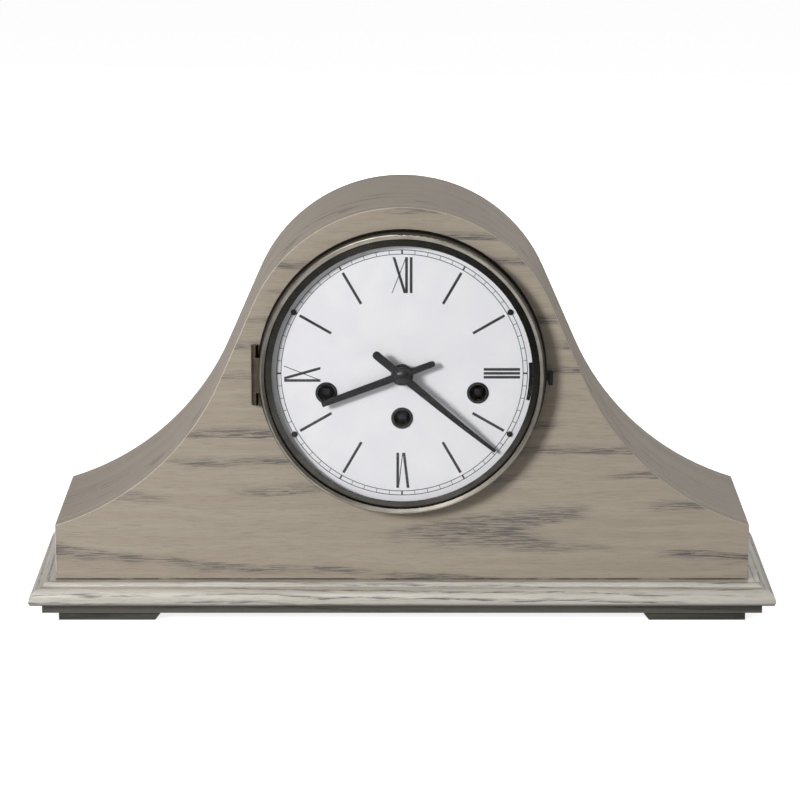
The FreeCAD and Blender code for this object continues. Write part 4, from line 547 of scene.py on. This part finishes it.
def piece(name, bm, finish, body):
    """The finished mesh as an object on its body."""
    bmesh.ops.remove_doubles(bm, verts=bm.verts, dist=1e-7)
    bmesh.ops.recalc_face_normals(bm, faces=bm.faces)
    mesh = bpy.data.meshes.new(name)
    bm.to_mesh(mesh)
    bm.free()
    made = bpy.data.objects.new(name, mesh)
    mesh.materials.append(finish)
    bpy.context.scene.collection.objects.link(made)
    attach(made, body)
    return made


PRINT_T = 0.05 * MM
TRACK_INNER = 71.2 * MM
TRACK_OUTER = 73.7 * MM
TRACK_LINE = 0.42 * MM
FIGURE_INNER = 48.0 * MM
FIGURE_OUTER = 69.4 * MM
BAR_W = 1.6 * MM
HAIR_W = 0.5 * MM
MINUTE_TICK_W = 0.32 * MM
HOUR_TICK_W = 1.0 * MM

# Each stroke of a figure: its side places at the inner and outer end, and its width
ROMAN = {
    0: ((1.7, -4.8, BAR_W), (-5.9, 2.4, HAIR_W), (2.6, 2.6, BAR_W), (5.3, 5.3, BAR_W)),
    90: ((-2.36, -2.36, BAR_W), (0.0, 0.0, BAR_W), (2.36, 2.36, BAR_W)),
    180: ((-1.1, -3.6, BAR_W), (-0.4, 2.1, HAIR_W), (2.55, 2.55, BAR_W)),
    270: ((-4.3, -4.3, BAR_W), (3.1, -3.0, BAR_W), (-4.2, 4.4, HAIR_W)),
}


def print_dial():
    """Minute track, hour bars and figures."""
    bm = bmesh.new()
    for radius in (TRACK_INNER, TRACK_OUTER):
        band(bm, radius - TRACK_LINE / 2, radius + TRACK_LINE / 2)
    for minute in range(60):
        width = MINUTE_TICK_W if minute % 5 else HOUR_TICK_W
        stroke(bm, minute * 6, TRACK_INNER, TRACK_OUTER, width)
    for hour in range(12):
        if hour % 3:
            stroke(bm, hour * 30, FIGURE_INNER, FIGURE_OUTER, BAR_W)
    for clockwise, strokes in ROMAN.items():
        for inner_side, outer_side, width in strokes:
            stroke(bm, clockwise, FIGURE_INNER, FIGURE_OUTER, width, inner_side * MM, outer_side * MM)
    return piece("dial_print", bm, dial_ink, "case")


print_dial()


def turned(bm, profile, x=DIAL_X, z=DIAL_Z, steps=64):
    """A profile of (radius, millimetres ahead of the wood) spun about a line that runs ahead."""
    points = [bm.verts.new((x + radius * MM, WOOD_FRONT - ahead * MM, z)) for radius, ahead in profile]
    edges = [bm.edges.new(pair) for pair in zip(points, points[1:])]
    bmesh.ops.spin(bm, geom=points + edges, cent=(x, 0, z), axis=(0, 1, 0), angle=math.tau,
                   steps=steps, use_merge=True)


def smooth(made, angle=35):
    """Round faces shade as one surface, and sharp corners stay sharp."""
    limit = math.cos(math.radians(angle))
    for polygon in made.data.polygons:
        polygon.use_smooth = True
    bm = bmesh.new()
    bm.from_mesh(made.data)
    for edge in bm.edges:
        if len(edge.link_faces) == 2:
            first, second = edge.link_faces
            edge.smooth = first.normal.dot(second.normal) > limit
    bm.to_mesh(made.data)
    bm.free()
    return made


def hub_pieces():
    """Domed nut that hides the arbor's end, a washer under it and a collar on the hour hand."""
    bm = bmesh.new()
    turned(bm, ((0, 16.5), (1.1, 16.4), (2.0, 16.0), (2.5, 15.5), (3.3, 15.35), (3.7, 15.0), (3.7, 13.4),
                (1.5, 13.4)))
    nut = smooth(piece("domed_hand_nut", bm, gloss_black, "minute"))
    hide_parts("hand_nut")
    bm = bmesh.new()
    turned(bm, ((3.8, 13.4), (4.9, 13.4), (4.9, 13.65), (4.6, 13.9), (3.8, 13.9), (3.8, 13.4)))
    smooth(piece("minute_hand_washer", bm, gloss_black, "minute"))
    bm = bmesh.new()
    turned(bm, ((3.6, 9.6), (5.4, 9.6), (5.4, 10.6), (5.0, 11.0), (3.6, 11.0), (3.6, 9.6)))
    smooth(piece("hour_hand_collar", bm, gloss_black, "hour"))


hub_pieces()


SKY = 0.19

# The way from the clock to the bright screen that its metal mirrors
SCREEN_WAY = (-0.25, -0.62, 0.74)


def rays_seen(tree):
    """Rays seen straight or through glass, then mirrored ones, none scattered by a dull surface."""
    path = add(tree, "ShaderNodeLightPath").outputs
    fresh = calc(tree, "LESS_THAN", path["Diffuse Depth"], 0.5)
    shiny = calc(tree, "GREATER_THAN", path["Glossy Depth"], 0.5)
    seen = calc(tree, "MAXIMUM", path["Is Camera Ray"], path["Is Transmission Ray"])
    straight = calc(tree, "MULTIPLY", calc(tree, "MULTIPLY", seen, fresh),
                    calc(tree, "SUBTRACT", 1.0, shiny))
    return straight, calc(tree, "MULTIPLY", fresh, shiny)


def lamp(name, place, size, watts):
    """A square soft lamp that faces the clock."""
    light = bpy.data.lights.new(name, "AREA")
    light.size = size
    light.energy = watts
    made = bpy.data.objects.new(name, light)
    made.location = place
    aim = Vector((0, -0.05, 0.13)) - Vector(place)
    made.rotation_euler = aim.to_track_quat("-Z", "Y").to_euler()
    made.visible_glossy = False
    bpy.context.scene.collection.objects.link(made)


def floor_and_light():
    """A white floor that keeps the shadow and shows a painted reflection glow in metal, soft lamps and an
    even sky.
    """
    bm = bmesh.new()
    bmesh.ops.create_grid(bm, x_segments=1, y_segments=1, size=6.0)
    mesh = bpy.data.meshes.new("floor")
    bm.to_mesh(mesh)
    bm.free()
    floor = bpy.data.objects.new("floor", mesh)
    bpy.context.scene.collection.objects.link(floor)
    made, tree, shader, place = material("floor_white")
    shader.inputs["Roughness"].default_value = 0.9
    shader.inputs["Specular IOR Level"].default_value = 0.0
    shader.inputs["Emission Color"].default_value = (1, 1, 1, 1)
    straight, glossy = rays_seen(tree)
    # Painted reflection: for mirrored rays the floor turns dark and glows, brightest in a strip near the
    # clock and dimmer to either side
    across = axes(tree, place)["X"]
    mirrored = calc(tree, "MULTIPLY", ramp(tree, across, 0.05, 0.35, 1.35, 0.06),
                    ramp(tree, across, -0.40, -0.10, 0.40, 1.0))
    tree.links.new(blend(tree, glossy, (0.55, 0.55, 0.55, 1), (0.05, 0.05, 0.05, 1)),
                   shader.inputs["Base Color"])
    tree.links.new(calc(tree, "MULTIPLY_ADD", straight, 0.85, calc(tree, "MULTIPLY", glossy, mirrored)),
                   shader.inputs["Emission Strength"])
    mesh.materials.append(made)

    world = bpy.data.worlds.new("studio")
    bpy.context.scene.world = world
    world.use_nodes = True
    tree = world.node_tree
    straight, glossy = rays_seen(tree)
    outwards = add(tree, "ShaderNodeTexCoord").outputs["Generated"]
    behind = ramp(tree, axes(tree, outwards)["Y"], -0.3, 0.4, 0.03, 0.75)
    toward = add(tree, "ShaderNodeVectorMath", {0: outwards, 1: SCREEN_WAY}, operation="DOT_PRODUCT")
    screen = ramp(tree, toward.outputs["Value"], 0.72, 0.95, 0.03, 1.3)
    core = ramp(tree, toward.outputs["Value"], 0.975, 0.988, 0.0, 16.0)
    mirrored = calc(tree, "MAXIMUM", behind, calc(tree, "ADD", screen, core))
    seen = calc(tree, "MAXIMUM", straight, calc(tree, "MULTIPLY", glossy, mirrored))
    back = tree.nodes["Background"]
    back.inputs["Color"].default_value = (1, 1, 1, 1)
    strength = calc(tree, "MULTIPLY_ADD", seen, 1.0 - SKY, SKY)
    tree.links.new(strength, back.inputs["Strength"])

    lamp("key", (-1.55, -1.75, 0.95), 0.6, 56)
    lamp("fill", (2.3, -0.1, 1.1), 1.4, 12)
    lamp("rear", (0.5, 2.2, 0.6), 1.4, 46)


CAMERA_AIM = (-0.001216, -0.0549, 0.1334)
CAMERA_RISE = 12.663
CAMERA_DISTANCE = 2.1121
CAMERA_LENS = 160.83


def camera():
    """The photographer's long lens, a little above the clock."""
    rise = math.radians(CAMERA_RISE)
    aim = Vector(CAMERA_AIM)
    ahead = Vector((0, math.cos(rise), -math.sin(rise)))
    lens = bpy.data.cameras.new("camera")
    lens.lens = CAMERA_LENS
    lens.sensor_width = 36.0
    lens.clip_start = 0.05
    made = bpy.data.objects.new("camera", lens)
    made.location = aim - ahead * CAMERA_DISTANCE
    made.rotation_euler = ahead.to_track_quat("-Z", "Y").to_euler()
    bpy.context.scene.collection.objects.link(made)
    bpy.context.scene.camera = made


floor_and_light()
camera()
bpy.context.scene.view_settings.view_transform = "Standard"
